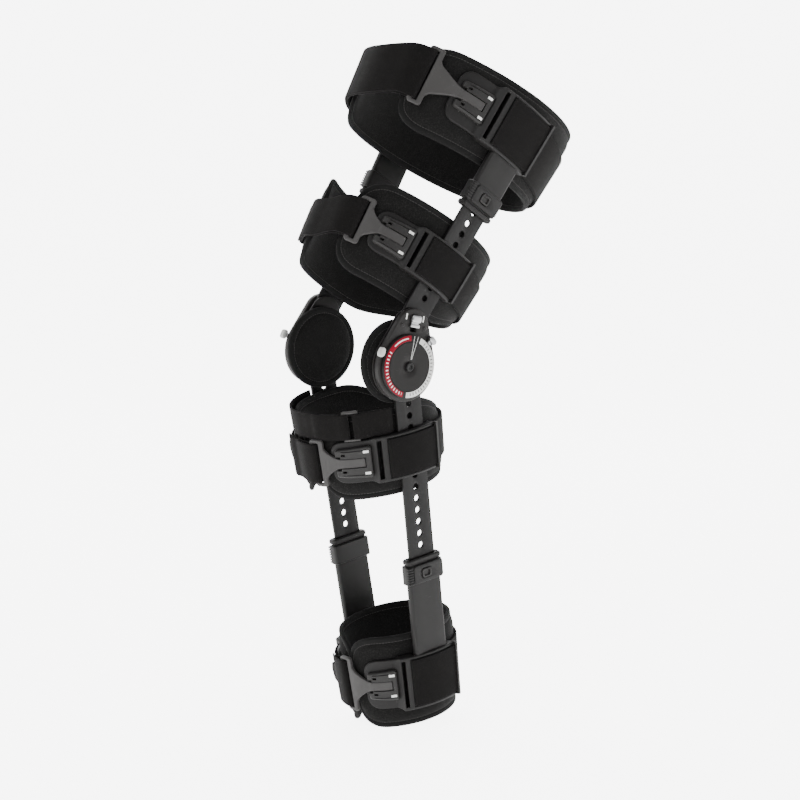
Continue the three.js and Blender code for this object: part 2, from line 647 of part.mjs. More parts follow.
function condyleBody() {
  const depth = CONDYLE.x1 - CONDYLE.x0;
  const profile = [
    [0, 0], [CONDYLE.r - 8, 0.6], [CONDYLE.r - CONDYLE.bevel, 2], [CONDYLE.r, depth / 2],
    [CONDYLE.r - CONDYLE.bevel, depth], [0, depth],
  ].map(([r, x]) => new THREE.Vector2(r, x));
  const geometry = new THREE.LatheGeometry(profile, 20);
  geometry.rotateZ(-Math.PI / 2);
  geometry.translate(CONDYLE.x0, CONDYLE.y, CONDYLE.z);
  return solidOf(geometry);
}

function framed(name, parent, height, lean) {
  const group = new THREE.Group();
  group.name = name;
  const up = new THREE.Vector3(0, Math.sin(rad(HEAD_LEAN)), Math.cos(rad(HEAD_LEAN)));
  group.position.copy(up.multiplyScalar(height));
  group.rotation.x = rad(-lean);
  parent.add(group);
  return group;
}

function mirrored(parent) {
  const group = new THREE.Group();
  group.scale.x = -1;
  parent.add(group);
  return group;
}

const brace = new THREE.Group();
brace.name = 'post_op_knee_brace';
const frames = {
  thigh: framed('thigh_frame', brace, PIVOT_HIGH, THIGH_LEAN),
  head: framed('head_frame', brace, 0, HEAD_LEAN),
  calf: framed('calf_frame', brace, PIVOT_LOW, -CALF_LEAN),
};
const sides = Object.fromEntries(Object.entries(frames).map(([key, frame]) =>
  [key, { outer: frame, inner: mirrored(frame) }]));

for (const row of CUFFS) {
  const cuff = makeCuff(row);
  const frame = frames[cuff.upright];
  node(frame, `${cuff.name}_pad`, padBody(cuff), LOOKS.foam);
  for (const side of ['outer', 'inner']) {
    const kind = cuff.mouth ? 'sleeve_plate' : 'plate';
    node(sides[cuff.upright][side], `${cuff.name}_${side}_${kind}`, plateBody(cuff), LOOKS.shell);
    if (cuff.mouth) {
      const { band, button } = clipBodies(cuff);
      node(sides[cuff.upright][side], `${cuff.name}_${side}_clip`, band, LOOKS.head);
      node(sides[cuff.upright][side], `${cuff.name}_${side}_button`, button, LOOKS.shell);
    }
  }
  node(frame, `${cuff.name}_catch`, catchBody(cuff), LOOKS.shell);
  node(frame, `${cuff.name}_hook`, hookBody(cuff), LOOKS.buckle);
  node(frame, `${cuff.name}_front_strap`, frontStrapBody(cuff), LOOKS.webbing);
  node(frame, `${cuff.name}_back_strap`, backStrapBody(cuff), LOOKS.webbing);
  if (cuff.name === 'upper_calf') {
    const { strap, ring } = tibialBodies(cuff);
    node(frame, 'tibial_strap', strap, LOOKS.webbing);
    node(frame, 'tibial_strap_ring', ring, LOOKS.shell);
  }
}

for (const side of ['outer', 'inner']) {
  node(sides.thigh[side], `${side}_thigh_bar`, barBody(THIGH_BAR, 'thigh'), LOOKS.upright);
  node(sides.calf[side], `${side}_calf_bar`, barBody(CALF_BAR, 'calf'), LOOKS.upright);
  const head = sides.head[side];
  node(head, `${side}_hinge_head`, headBody(), LOOKS.head);
  node(head, `${side}_dial`, dialBody(), LOOKS.dial);
  node(head, `${side}_dial_screw`, screwBody(), LOOKS.head);
  node(head, `${side}_lock_slider`, lockBody(), LOOKS.bright);
  node(head, `${side}_front_stop_tab`, tabBody(FRONT_TAB_ANGLE), LOOKS.white);
  node(head, `${side}_back_stop_tab`, tabBody(BACK_TAB_ANGLE), LOOKS.bright);
  node(head, `${side}_condyle_pad`, condyleBody(), LOOKS.foam);
}

export default brace;
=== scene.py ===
"""Looks of a hinged post-operative knee brace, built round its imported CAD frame.

Metres in the row frame: +Z up, +X the outer side with the catches, -Y the front.
The origin lies midway between the two dials.
"""
import math

import bmesh
import bpy
import numpy as np
from mathutils import Matrix, Vector


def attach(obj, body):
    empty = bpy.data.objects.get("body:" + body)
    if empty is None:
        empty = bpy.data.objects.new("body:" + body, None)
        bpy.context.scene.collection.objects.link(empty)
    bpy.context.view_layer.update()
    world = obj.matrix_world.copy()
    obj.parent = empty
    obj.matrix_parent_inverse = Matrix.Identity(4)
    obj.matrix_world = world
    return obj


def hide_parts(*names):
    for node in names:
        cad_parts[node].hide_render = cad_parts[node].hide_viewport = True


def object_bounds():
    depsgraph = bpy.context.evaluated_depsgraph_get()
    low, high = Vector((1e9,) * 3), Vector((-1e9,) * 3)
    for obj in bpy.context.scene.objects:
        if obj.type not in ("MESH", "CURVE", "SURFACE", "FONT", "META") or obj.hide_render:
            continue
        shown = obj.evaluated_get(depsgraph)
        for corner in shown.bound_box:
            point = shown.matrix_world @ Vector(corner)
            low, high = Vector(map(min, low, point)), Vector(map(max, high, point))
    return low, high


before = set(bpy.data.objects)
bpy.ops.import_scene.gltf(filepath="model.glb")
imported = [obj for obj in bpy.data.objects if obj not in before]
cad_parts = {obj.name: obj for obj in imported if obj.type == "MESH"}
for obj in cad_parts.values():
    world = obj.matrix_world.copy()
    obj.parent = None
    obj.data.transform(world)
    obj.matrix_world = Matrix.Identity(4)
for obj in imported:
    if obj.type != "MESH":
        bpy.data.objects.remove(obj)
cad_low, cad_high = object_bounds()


# Studio: a pale sweep of paper that rises behind the brace, one large soft
# light above and in front, weaker ones from the side and the top, and a camera
# at the height and angle of the photograph.
PAPER_COLOUR = (0.9, 0.9, 0.895, 1)
PAPER_FRONT, PAPER_BEND, PAPER_TOP = -30.0, 1.6, 5.0
PAPER_HALF = 20.0
BEND_RADIUS = 1.2
BEND_STEPS = 12
PAPER_LIT, PAPER_SEEN = 2.2, 6.0
AIR_LIT, AIR_SEEN = 0.3, 6.6
FLOOR_GAP = 0.002
WHITE = (1.0, 1.0, 1.0, 1)
VIEW_AZIMUTH = math.radians(53.0)
VIEW_ELEVATION = math.radians(8.35)
VIEW_DISTANCE = 2.5
AIM_RIGHT, AIM_DOWN = 0.0402, 0.0415
LENS, SENSOR = 116.4, 36


def placed(name, data):
    made = bpy.data.objects.new(name, data)
    bpy.context.scene.collection.objects.link(made)
    return made


def aimed(thing, place, aim):
    thing.location = place
    thing.rotation_euler = (Vector(aim) - Vector(place)).to_track_quat("-Z", "Y").to_euler()


def glow(tree, socket, lit, seen):
    """Strength with one value for lighting and another for the camera."""
    path = tree.nodes.new("ShaderNodeLightPath")
    strength = tree.nodes.new("ShaderNodeMapRange")
    strength.inputs["To Min"].default_value = lit
    strength.inputs["To Max"].default_value = seen
    tree.links.new(path.outputs["Is Camera Ray"], strength.inputs["Value"])
    tree.links.new(strength.outputs["Result"], socket)


def soft_light(name, place, aim, size, watts):
    data = bpy.data.lights.new(name, "AREA")
    data.shape, data.size, data.energy = "DISK", size, watts
    aimed(placed(name, data), place, aim)


view_flat = Vector((math.sin(VIEW_AZIMUTH), -math.cos(VIEW_AZIMUTH), 0))
view_out = view_flat * math.cos(VIEW_ELEVATION) + Vector((0, 0, math.sin(VIEW_ELEVATION)))
view_right = Vector((math.cos(VIEW_AZIMUTH), math.sin(VIEW_AZIMUTH), 0))
view_up = view_out.cross(view_right)

sweep_line = [(PAPER_FRONT, 0.0)]
for step in range(BEND_STEPS + 1):
    turn = step / BEND_STEPS * math.pi / 2
    sweep_line.append((PAPER_BEND + BEND_RADIUS * math.sin(turn), BEND_RADIUS * (1 - math.cos(turn))))
sweep_line.append((PAPER_BEND + BEND_RADIUS, PAPER_TOP))
floor = Vector((0, 0, cad_low.z - FLOOR_GAP))
sweep_points = [floor + Vector((0, 0, height)) - view_flat * along + view_right * across
                for along, height in sweep_line for across in (-PAPER_HALF, PAPER_HALF)]
sweep_faces = [(i, i + 1, i + 3, i + 2) for i in range(0, len(sweep_points) - 2, 2)]
sweep_mesh = bpy.data.meshes.new("paper_sweep")
sweep_mesh.from_pydata(sweep_points, [], sweep_faces)
sweep_mesh.shade_smooth()
sweep = placed("paper_sweep", sweep_mesh)
# Seen straight on, the paper is burnt out to near white, as in a catalogue
# picture, but it lights the brace no more than lit paper does.
paper = bpy.data.materials.new("studio_paper")
paper.use_nodes = True
paper_shader = paper.node_tree.nodes["Principled BSDF"].inputs
for label, value in (("Base Color", PAPER_COLOUR), ("Roughness", 0.9), ("Specular IOR Level", 0.1),
                     ("Emission Color", WHITE)):
    paper_shader[label].default_value = value
glow(paper.node_tree, paper_shader["Emission Strength"], PAPER_LIT, PAPER_SEEN)
sweep_mesh.materials.append(paper)

# The air looks as bright as the paper, so that no horizon shows from low down.
world = bpy.data.worlds.new("studio_air")
world.use_nodes = True
background = world.node_tree.nodes["Background"].inputs
background["Color"].default_value = WHITE
glow(world.node_tree, background["Strength"], AIR_LIT, AIR_SEEN)
bpy.context.scene.world = world

soft_light("key_light", view_out * 1.9 - view_right * 1.1 + Vector((0, 0, 1.6)), (0, 0, 0), 1.4, 34)
soft_light("side_light", view_out * 0.9 + view_right * 1.9 + Vector((0, 0, 0.9)), (0, 0, -0.05),
           1.2, 8)
soft_light("top_light", (-0.3, 0.3, 2.2), (0, 0, 0), 1.6, 14)

camera_data = bpy.data.cameras.new("camera")
camera_data.lens, camera_data.sensor_width = LENS, SENSOR
camera = placed("camera", camera_data)
aimed(camera, view_out * VIEW_DISTANCE, view_right * AIM_RIGHT - view_up * AIM_DOWN)
bpy.context.scene.camera = camera


# Uprights: two flat aluminium bars a side, coated black, with a row of punched
# setting holes. The pivot end is round, and each bar is bent once, just past
# the hinge head, so that the pair opens to the width of the cuffs.
MM = 0.001
PIVOT_HIGH, PIVOT_LOW = 36.0, 6.0
BAR_INSIDE = 66.3
BAR_THICK = 3.0
BAR_WIDTH = 30.0
BAR_CORNER = 5.0
BAR_SHOULDER = 6
BAR_ROUND = 0.35
BAR_END_R = 14.7
BAR_HOLE_R = 3.15
BAR_PITCH = 11.9
PIVOT_HOLE_R = 4.3
HEAD_LEAN = math.radians(12.75)
BARS = {
    "thigh": {"bend": 24.0, "end": 200.0, "splay": 5.3, "holes": 9, "first": 32.8},
    "calf": {"bend": -36.0, "end": -252.0, "splay": 2.8, "holes": 13, "first": -43.4},
}
SIDES = {"outer": 1, "inner": -1}
head_up = Vector((0, math.sin(HEAD_LEAN), math.cos(HEAD_LEAN)))
LEANS = {
    "thigh": Matrix.Translation(head_up * PIVOT_HIGH) @ Matrix.Rotation(math.radians(-34.0), 4, "X"),
    "head": Matrix.Rotation(-HEAD_LEAN, 4, "X"),
    "calf": Matrix.Translation(head_up * PIVOT_LOW) @ Matrix.Rotation(math.radians(8.5), 4, "X"),
}


def arc(y, z, r, start, end, steps):
    """Points of a circle from one angle to another, both ends kept."""
    turns = [start + (end - start) * i / steps for i in range(steps + 1)]
    return [(y + r * math.cos(t), z + r * math.sin(t)) for t in turns]


def ring(y, z, r, count):
    return arc(y, z, r, 0, 2 * math.pi, count)[:-1]


def piece(name, bm, lean, material, mirror=1, crease=40, lay=None):
    """Object from a bmesh in the millimetres of one leaning frame. lay keeps
    each point's place in the maker's plan, for prints, weaves and stitches."""
    plan = lay or [(v.co.y, v.co.z, v.co.x) for v in bm.verts]
    matrix = Matrix.Scale(MM, 4) @ LEANS[lean] @ Matrix.Diagonal((mirror, 1, 1, 1))
    bmesh.ops.transform(bm, matrix=matrix, verts=bm.verts)
    bmesh.ops.recalc_face_normals(bm, faces=bm.faces)
    mesh = bpy.data.meshes.new(name)
    bm.to_mesh(mesh)
    bm.free()
    mesh.shade_smooth()
    mesh.set_sharp_from_angle(angle=math.radians(crease))
    kept = mesh.attributes.new("lay", "FLOAT_VECTOR", "POINT")
    kept.data.foreach_set("vector", np.array(plan, dtype=np.float32).ravel())
    mesh.materials.append(material)
    return placed(name, mesh)


def cut_sheet(outline, x0, x1, round_over, holes=()):
    """Plate in the side plane (y, z) from x0 to x1, with its edges rounded over."""
    curve = bpy.data.curves.new("outline", "CURVE")
    curve.dimensions, curve.fill_mode = "2D", "BOTH"
    curve.extrude = (x1 - x0) / 2 - round_over
    curve.bevel_depth, curve.bevel_resolution = round_over, 2
    curve.offset = -round_over
    for loop in [outline, *holes]:
        spline = curve.splines.new("POLY")
        spline.points.add(len(loop) - 1)
        spline.use_cyclic_u = True
        for point, (y, z) in zip(spline.points, loop):
            point.co = (y, z, 0, 1)
    holder = placed("outline", curve)
    graph = bpy.context.evaluated_depsgraph_get()
    mesh = bpy.data.meshes.new_from_object(holder.evaluated_get(graph))
    bm = bmesh.new()
    bm.from_mesh(mesh)
    bpy.data.objects.remove(holder)
    bpy.data.curves.remove(curve)
    bpy.data.meshes.remove(mesh)
    bmesh.ops.remove_doubles(bm, verts=bm.verts, dist=1e-4)
    turned = Matrix(((0, 0, 1, (x0 + x1) / 2), (1, 0, 0, 0), (0, 1, 0, 0), (0, 0, 0, 1)))
    bmesh.ops.transform(bm, matrix=turned, verts=bm.verts)
    return bm


def splayed(points, bar):
    """Takes points given along a straight bar to the bar past its bend."""
    turn = math.radians(bar["splay"])
    moved = []
    for x, y, z in points:
        along = z - bar["bend"]
        out = x - BAR_INSIDE
        moved.append((BAR_INSIDE + out * math.cos(turn) + along * math.sin(turn), y,
                      bar["bend"] - out * math.sin(turn) + along * math.cos(turn)))
    return moved


def bent_bar(bar):
    way = math.copysign(1, bar["end"])
    half, corner = BAR_WIDTH / 2, BAR_CORNER
    top = abs(bar["end"]) - corner
    outline = arc(0, 0, BAR_END_R, math.pi, 2 * math.pi, 24) + [(half, BAR_SHOULDER)]
    outline += arc(half - corner, top, corner, 0, math.pi / 2, 6)
    outline += arc(corner - half, top, corner, math.pi / 2, math.pi, 6)
    outline = [(y, way * z) for y, z in outline + [(-half, BAR_SHOULDER)]]
    holes = [ring(0, 0, PIVOT_HOLE_R, 24)]
    for i in range(bar["holes"]):
        holes.append(ring(0, bar["first"] + way * BAR_PITCH * i, BAR_HOLE_R, 24))
    bm = cut_sheet(outline, BAR_INSIDE, BAR_INSIDE + BAR_THICK, BAR_ROUND, holes)
    bmesh.ops.bisect_plane(bm, geom=bm.verts[:] + bm.edges[:] + bm.faces[:], dist=1e-4,
                           plane_co=(0, 0, bar["bend"]), plane_no=(0, 0, 1))
    past = [v for v in bm.verts if (v.co.z - bar["bend"]) * way > 1e-3]
    for vert, place in zip(past, splayed([v.co for v in past], bar)):
        vert.co = place
    return bm


class Nodes:
    """Writes nodes into one shader tree. What feeds a socket is a number, a
    colour or another node's socket."""

    def __init__(self, tree):
        self.tree = tree

    def feed(self, socket, value):
        if isinstance(value, bpy.types.NodeSocket):
            self.tree.links.new(value, socket)
        else:
            socket.default_value = value

    def fill(self, node, **values):
        """Feeds a node's sockets by name, with _ for a space."""
        for key, value in values.items():
            self.feed(node.inputs[key.replace("_", " ")], value)

    def add(self, kind, settings=None, **values):
        made = self.tree.nodes.new("ShaderNode" + kind)
        for key, value in (settings or {}).items():
            setattr(made, key, value)
        self.fill(made, **values)
        return made.outputs

    def calc(self, operation, *terms, clamp=False):
        made = self.tree.nodes.new("ShaderNodeMath")
        made.operation, made.use_clamp = operation, clamp
        for socket, term in zip(made.inputs, terms):
            self.feed(socket, term)
        return made.outputs[0]

    def times(self, first, second):
        return self.calc("MULTIPLY", first, second)

    def ramp(self, value, low=0.0, high=1.0, to_low=0.0, to_high=1.0, kind="LINEAR"):
        return self.add("MapRange", {"interpolation_type": kind}, Value=value, From_Min=low,
                        From_Max=high, To_Min=to_low, To_Max=to_high)[0]

    def between(self, value, low, high, soft):
        """1 where value lies from low to high, fading over soft at both ends."""
        rise, fall = [self.ramp(value, edge - soft, edge + soft, kind="SMOOTHSTEP")
                      for edge in (low, high)]
        return self.calc("SUBTRACT", rise, fall, clamp=True)

    def mix(self, share, first, second, blend="MIX"):
        made = self.tree.nodes.new("ShaderNodeMix")
        made.data_type, made.blend_type = "RGBA", blend
        for index, value in ((0, share), (6, first), (7, second)):
            self.feed(made.inputs[index], value)
        return made.outputs[2]


def new_material(name):
    material = bpy.data.materials.new(name)
    material.use_nodes = True
    return material, Nodes(material.node_tree), material.node_tree.nodes["Principled BSDF"]


def shader_group(name, inputs, outputs):
    """Node group with named sockets; returns its writer and its two ends."""
    tree = bpy.data.node_groups.new(name, "ShaderNodeTree")
    for label, kind, value in inputs:
        socket = tree.interface.new_socket(label, in_out="INPUT", socket_type="NodeSocket" + kind)
        if value is not None:
            socket.default_value = value
    for label, kind in outputs:
        tree.interface.new_socket(label, in_out="OUTPUT", socket_type="NodeSocket" + kind)
    return Nodes(tree), tree.nodes.new("NodeGroupInput").outputs, tree.nodes.new("NodeGroupOutput")


SURFACE_SOCKETS = [("Colour", "Color"), ("Roughness", "Float"), ("Height", "Float")]


def moulded_finish():
    """Grain and handling marks of a hard surface: a fine pebble, faint cloudy
    shine and short scuffs, all set by the material that uses it."""
    nodes, given, out = shader_group(
        "moulded_finish",
        [("Colour", "Color", (0.05, 0.05, 0.05, 1)), ("Worn Colour", "Color", (0.2, 0.2, 0.2, 1)),
         ("Roughness", "Float", 0.5), ("Grain Size", "Float", 0.0006), ("Wear", "Float", 0.3)],
        SURFACE_SOCKETS)
    place = nodes.add("TexCoord")["Object"]
    fine = nodes.calc("DIVIDE", 1.0, given["Grain Size"])
    pebble = nodes.add("TexNoise", Vector=place, Scale=fine, Detail=2.0)["Fac"]
    cloud = nodes.add("TexNoise", Vector=place, Scale=38.0, Detail=3.0)["Fac"]
    slanted = nodes.add("Mapping", Vector=place, Rotation=(0.5, 0.2, 0.9), Scale=(900, 130, 900))[0]
    scratch = nodes.add("TexNoise", Vector=slanted, Scale=1.0, Detail=2.0)["Fac"]
    marks = nodes.times(nodes.ramp(scratch, 0.66, 0.78), nodes.ramp(cloud, 0.52, 0.7))
    worn = nodes.calc("MULTIPLY", marks, given["Wear"], clamp=True)
    shade = nodes.ramp(cloud, to_low=0.88, to_high=1.12)
    toned = nodes.mix(1.0, given["Colour"], shade, "MULTIPLY")
    spread = nodes.ramp(cloud, to_low=-0.09, to_high=0.09)
    rough = nodes.calc("ADD", given["Roughness"], spread)
    nodes.fill(out, Colour=nodes.mix(worn, toned, given["Worn Colour"]),
               Roughness=nodes.calc("ADD", rough, nodes.times(worn, 0.2), clamp=True),
               Height=nodes.calc("SUBTRACT", pebble, worn))
    return nodes.tree


MOULDED_FINISH = moulded_finish()


def coat(nodes, shader, colour, roughness, height, strength, depth, **more):
    """Lays colour, roughness, a relief of some depth and more on a shader."""
    relief = nodes.add("Bump", Height=height, Strength=strength, Distance=depth)[0]
    nodes.fill(shader, Base_Color=colour, Roughness=roughness, Normal=relief, **more)


def hard_material(name, colour, worn, roughness, grain=0.0006, wear=0.3, bump=0.00003, metallic=0.0):
    """Material of one hard finish."""
    material, nodes, shader = new_material(name)
    finish = nodes.add("Group", {"node_tree": MOULDED_FINISH}, Colour=(*colour, 1),
                       Worn_Colour=(*worn, 1), Roughness=roughness, Grain_Size=grain, Wear=wear)
    coat(nodes, shader, finish["Colour"], finish["Roughness"], finish["Height"], 0.6, bump,
         Metallic=metallic, Specular_IOR_Level=0.5 if metallic else 0.22)
    return material


COATED_BAR = hard_material("coated_bar", (0.0055, 0.0051, 0.005), (0.07, 0.07, 0.07), 0.46, 0.0004, 0.5)
for side, mirror in SIDES.items():
    for upright, bar in BARS.items():
        made = piece(f"{side}_{upright}_upright", bent_bar(bar), upright, COATED_BAR, mirror)
        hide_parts(f"{side}_{upright}_bar")
        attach(made, upright)


# Hinge heads: a black moulded cover and a back plate either side of the two
# bar ends, held on posts and riveted. A slot in the neck takes the lock slider,
# with a white mark at each side of it.
COVER_INSIDE, COVER_FACE = 69.6, 75.6
COVER_LOW_R, COVER_HIGH_R, COVER_ROUND = 34.0, 19.0, 0.9
BACK_FROM, BACK_TO = 64.0, 66.0
BACK_INSET, BACK_ROUND = 1.5, 0.5
LOCK_SLOT = (-3.8, 3.8, 33.0, 49.0, 1.5)
POST_FROM, POST_TO = 65.5, 70.1
POSTS = ((-21.5, 21.0, 3.2), (21.5, 21.0, 3.2), (0, PIVOT_LOW, 4.0), (0, PIVOT_HIGH, 4.0))
RIVET_ASIDE, RIVET_UP, RIVET_R, RIVET_RISE = 13.5, 2.0, 2.3, 0.8
MARK_ASIDE, MARK_HALF, MARK_LOW, MARK_HIGH = 10.2, 0.8, 43.5, 49.5
MARK_SUNK, MARK_PROUD = 0.5, 0.25


def egg(low_r, high_r, steps=40):
    """Outline round the dial's circle and the smaller one of the neck."""
    lean = math.asin((low_r - high_r) / PIVOT_HIGH)
    return (arc(0, PIVOT_HIGH, high_r, lean, math.pi - lean, steps)
            + arc(0, 0, low_r, math.pi - lean, 2 * math.pi + lean, steps))


def rounded_box(y0, y1, z0, z1, r, steps=5):
    quarter = math.pi / 2
    corners = ((y1 - r, z1 - r), (y0 + r, z1 - r), (y0 + r, z0 + r), (y1 - r, z0 + r))
    return [point for n, (y, z) in enumerate(corners)
            for point in arc(y, z, r, n * quarter, (n + 1) * quarter, steps)]


def spun(profile, y=0.0, z=0.0, steps=64):
    """Turned body about an axis along x; profile is (radius, x) from the back
    centre to the front centre."""
    bm = bmesh.new()
    rows = []
    for r, x in profile:
        spots = ring(y, z, r, steps) if r else [(y, z)]
        rows.append([bm.verts.new((x, *spot)) for spot in spots])
    for low, high in zip(rows, rows[1:]):
        for i in range(steps):
            j = (i + 1) % steps
            corners = [low[i % len(low)], low[j % len(low)], high[j % len(high)], high[i % len(high)]]
            bm.faces.new(list(dict.fromkeys(corners)))
    return bm


def joined(first, *others, finish=0):
    """Adds bmeshes to the first; finish is the material slot of those added."""
    for other in others:
        start = len(first.faces)
        mesh = bpy.data.meshes.new("part")
        other.to_mesh(mesh)
        other.free()
        first.from_mesh(mesh)
        bpy.data.meshes.remove(mesh)
        first.faces.ensure_lookup_table()
        for face in first.faces[start:]:
            face.material_index = finish
    return first


def dome(y, z, r, base, rise):
    profile = [(0, base - 0.6), (r, base - 0.6)]
    for share, up in ((1, 0.4), (0.8, 0.8), (0.45, 1), (0.3, 0.55), (0, 0.5)):
        profile.append((share * r, base + up * rise))
    return spun(profile, y, z, 24)


HEAD_BLACK = hard_material("head_black", (0.016, 0.0150, 0.0145), (0.12, 0.12, 0.12), 0.42, 0.0005, 0.4)
PRINT_WHITE = hard_material("print_white", (0.72, 0.72, 0.70), (0.4, 0.4, 0.4), 0.5, 0.0005, 0.3)
for side, mirror in SIDES.items():
    head = cut_sheet(egg(COVER_LOW_R, COVER_HIGH_R), COVER_INSIDE, COVER_FACE, COVER_ROUND,
                     [rounded_box(*LOCK_SLOT)])
    back = egg(COVER_LOW_R - BACK_INSET, COVER_HIGH_R - BACK_INSET)
    joined(head, cut_sheet(back, BACK_FROM, BACK_TO, BACK_ROUND))
    for y, z, r in POSTS:
        joined(head, spun([(0, POST_FROM), (r, POST_FROM), (r, POST_TO), (0, POST_TO)], y, z, 24))
    for way in (-1, 1):
        joined(head, dome(way * RIVET_ASIDE, PIVOT_HIGH + RIVET_UP, RIVET_R, COVER_FACE, RIVET_RISE))
        aside = way * MARK_ASIDE
        mark = rounded_box(aside - MARK_HALF, aside + MARK_HALF, MARK_LOW, MARK_HIGH, 0.6)
        joined(head, cut_sheet(mark, COVER_FACE - MARK_SUNK, COVER_FACE + MARK_PROUD, 0.1), finish=1)
    made = piece(f"{side}_head_case", head, "head", HEAD_BLACK, mirror)
    made.data.materials.append(PRINT_WHITE)
    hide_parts(f"{side}_hinge_head")
    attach(made, "hinge_heads")


# Setting dials: a dark moulded disc on each head, printed with a red ring on
# its front half and a white one on its back half, both with plain ticks, and a
# forked pointer. A dished screw holds it at the centre.
ON_COVER = COVER_FACE + 0.3
DIAL_R = 30.5
DIAL_FACE = 80.0
RING_IN, RING_OUT = 24.3, 29.6
RED_TURN, WHITE_TURN = (-176, -7), (16, 176)
RED_TICKS, WHITE_TICKS = (-172, -62), (26, 172)
TICK_STEP = 7.5
TICK_SHARE = (0.34, 0.66)
TICK_IN, TICK_OUT = RING_IN + 0.9, RING_OUT - 1.6
ARROW_TURN, ARROW_R = (-52, -14), (26.3, 27.5)
POINTER_FROM, POINTER_TO, PRONG_HALF = 7.0, 29.4, 0.3
PRONG_SPREAD, PRONG_START = 0.085, -0.25
POINTER_LEAN = math.radians(5.0)
DIAL_BLACK = (0.012, 0.0112, 0.0108, 1)
DIAL_RED, DIAL_WHITE = (0.21, 0.0008, 0.013, 1), (0.62, 0.62, 0.60, 1)
TICK_WHITE, TICK_DARK = (0.75, 0.74, 0.72, 1), (0.12, 0.12, 0.12, 1)
POINTER_WHITE = (0.5, 0.5, 0.49, 1)
DIAL_PROFILE = (
    (0, ON_COVER), (DIAL_R - 0.6, ON_COVER), (DIAL_R, ON_COVER + 0.6), (DIAL_R, 78.8),
    (DIAL_R - 0.3, 79.4), (RING_OUT, DIAL_FACE - 0.15), (RING_IN, DIAL_FACE - 0.1),
    (RING_IN - 0.3, DIAL_FACE - 0.45), (RING_IN - 0.9, DIAL_FACE - 0.45), (RING_IN - 1.2, DIAL_FACE),
    (12, DIAL_FACE), (6.2, DIAL_FACE), (5.6, DIAL_FACE - 0.5), (0, DIAL_FACE - 0.5))
SCREW_TOP = DIAL_FACE + 1.7
SCREW_PROFILE = (
    (0, DIAL_FACE - 0.3), (4.2, DIAL_FACE - 0.3), (4.2, SCREW_TOP - 0.6), (3.6, SCREW_TOP),
    (2.3, SCREW_TOP), (2.0, SCREW_TOP - 1.1), (0, SCREW_TOP - 1.2))


def dial_print():
    material, nodes, shader = new_material("dial_print")
    calc, times, between = nodes.calc, nodes.times, nodes.between
    plan = nodes.add("Attribute", {"attribute_name": "lay"})["Vector"]
    across, up, out = nodes.add("SeparateXYZ", Vector=plan)
    radius = calc("SQRT", calc("ADD", times(across, across), times(up, up)))
    turn = times(calc("ARCTAN2", across, up), 180 / math.pi)
    on_face = calc("GREATER_THAN", out, DIAL_FACE - 0.6)
    band = times(between(radius, RING_IN, RING_OUT, 0.1), on_face)
    front = times(band, between(turn, *RED_TURN, 0.6))
    back = times(band, between(turn, *WHITE_TURN, 0.6))
    # The 48 makes the count positive, and the half sets ticks on whole steps
    step = calc("FRACT", calc("ADD", calc("DIVIDE", turn, TICK_STEP), 48.5))
    tick = times(between(step, *TICK_SHARE, 0.06), between(radius, TICK_IN, TICK_OUT, 0.15))
    white_tick = times(tick, between(turn, *RED_TICKS, 0.5))
    arrow = times(between(turn, *ARROW_TURN, 0.8), between(radius, *ARROW_R, 0.15))
    dark_tick = times(tick, between(turn, *WHITE_TICKS, 0.5))
    sine, cosine = math.sin(POINTER_LEAN), math.cos(POINTER_LEAN)
    aside = calc("SUBTRACT", times(across, cosine), times(up, sine))
    ahead = calc("ADD", times(across, sine), times(up, cosine))
    half = calc("MULTIPLY_ADD", ahead, PRONG_SPREAD, PRONG_START)
    from_prong = calc("ABSOLUTE", calc("SUBTRACT", calc("ABSOLUTE", aside), half))
    pointer = times(calc("LESS_THAN", from_prong, PRONG_HALF),
                    between(ahead, POINTER_FROM, POINTER_TO, 0.2))
    colour = DIAL_BLACK
    for share, print_colour in ((front, DIAL_RED), (back, DIAL_WHITE),
                                (times(front, calc("MAXIMUM", white_tick, arrow)), TICK_WHITE),
                                (times(back, dark_tick), TICK_DARK),
                                (times(pointer, on_face), POINTER_WHITE)):
        colour = nodes.mix(share, colour, print_colour)
    finish = nodes.add("Group", {"node_tree": MOULDED_FINISH}, Colour=colour,
                       Worn_Colour=(0.1, 0.1, 0.1, 1), Roughness=0.4, Wear=0.25)
    coat(nodes, shader, finish["Colour"], finish["Roughness"], finish["Height"], 0.5, 0.00002,
         Specular_IOR_Level=0.15)
    return material


DIAL_PRINT = dial_print()
SCREW_BLACK = hard_material("screw_black", (0.01, 0.01, 0.01), (0.2, 0.2, 0.2), 0.3, 0.0004, 0.6)
for side, mirror in SIDES.items():
    made = piece(f"{side}_setting_dial", spun(DIAL_PROFILE, steps=120), "head", DIAL_PRINT, mirror)
    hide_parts(f"{side}_dial")
    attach(made, "hinge_heads")
    made = piece(f"{side}_centre_screw", spun(SCREW_PROFILE, steps=32), "head", SCREW_BLACK, mirror)
    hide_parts(f"{side}_dial_screw")
    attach(made, "hinge_heads")


# Stop tabs and lock slider: small plated or white levers on the rim of each
# head that set how far the hinge may open and close, and a grooved slider in
# the neck that locks it straight.
TAB_ARM = (-2.2, 2.2, 31.2, 35.4, 0.8)
TAB_GRIP = (-4.6, 4.6, 33.4, 39.0, 2.6, 8)
TAB_FACE = 78.6
GRIP_RISE = 2.6
LOCK_HEIGHT = 43.0
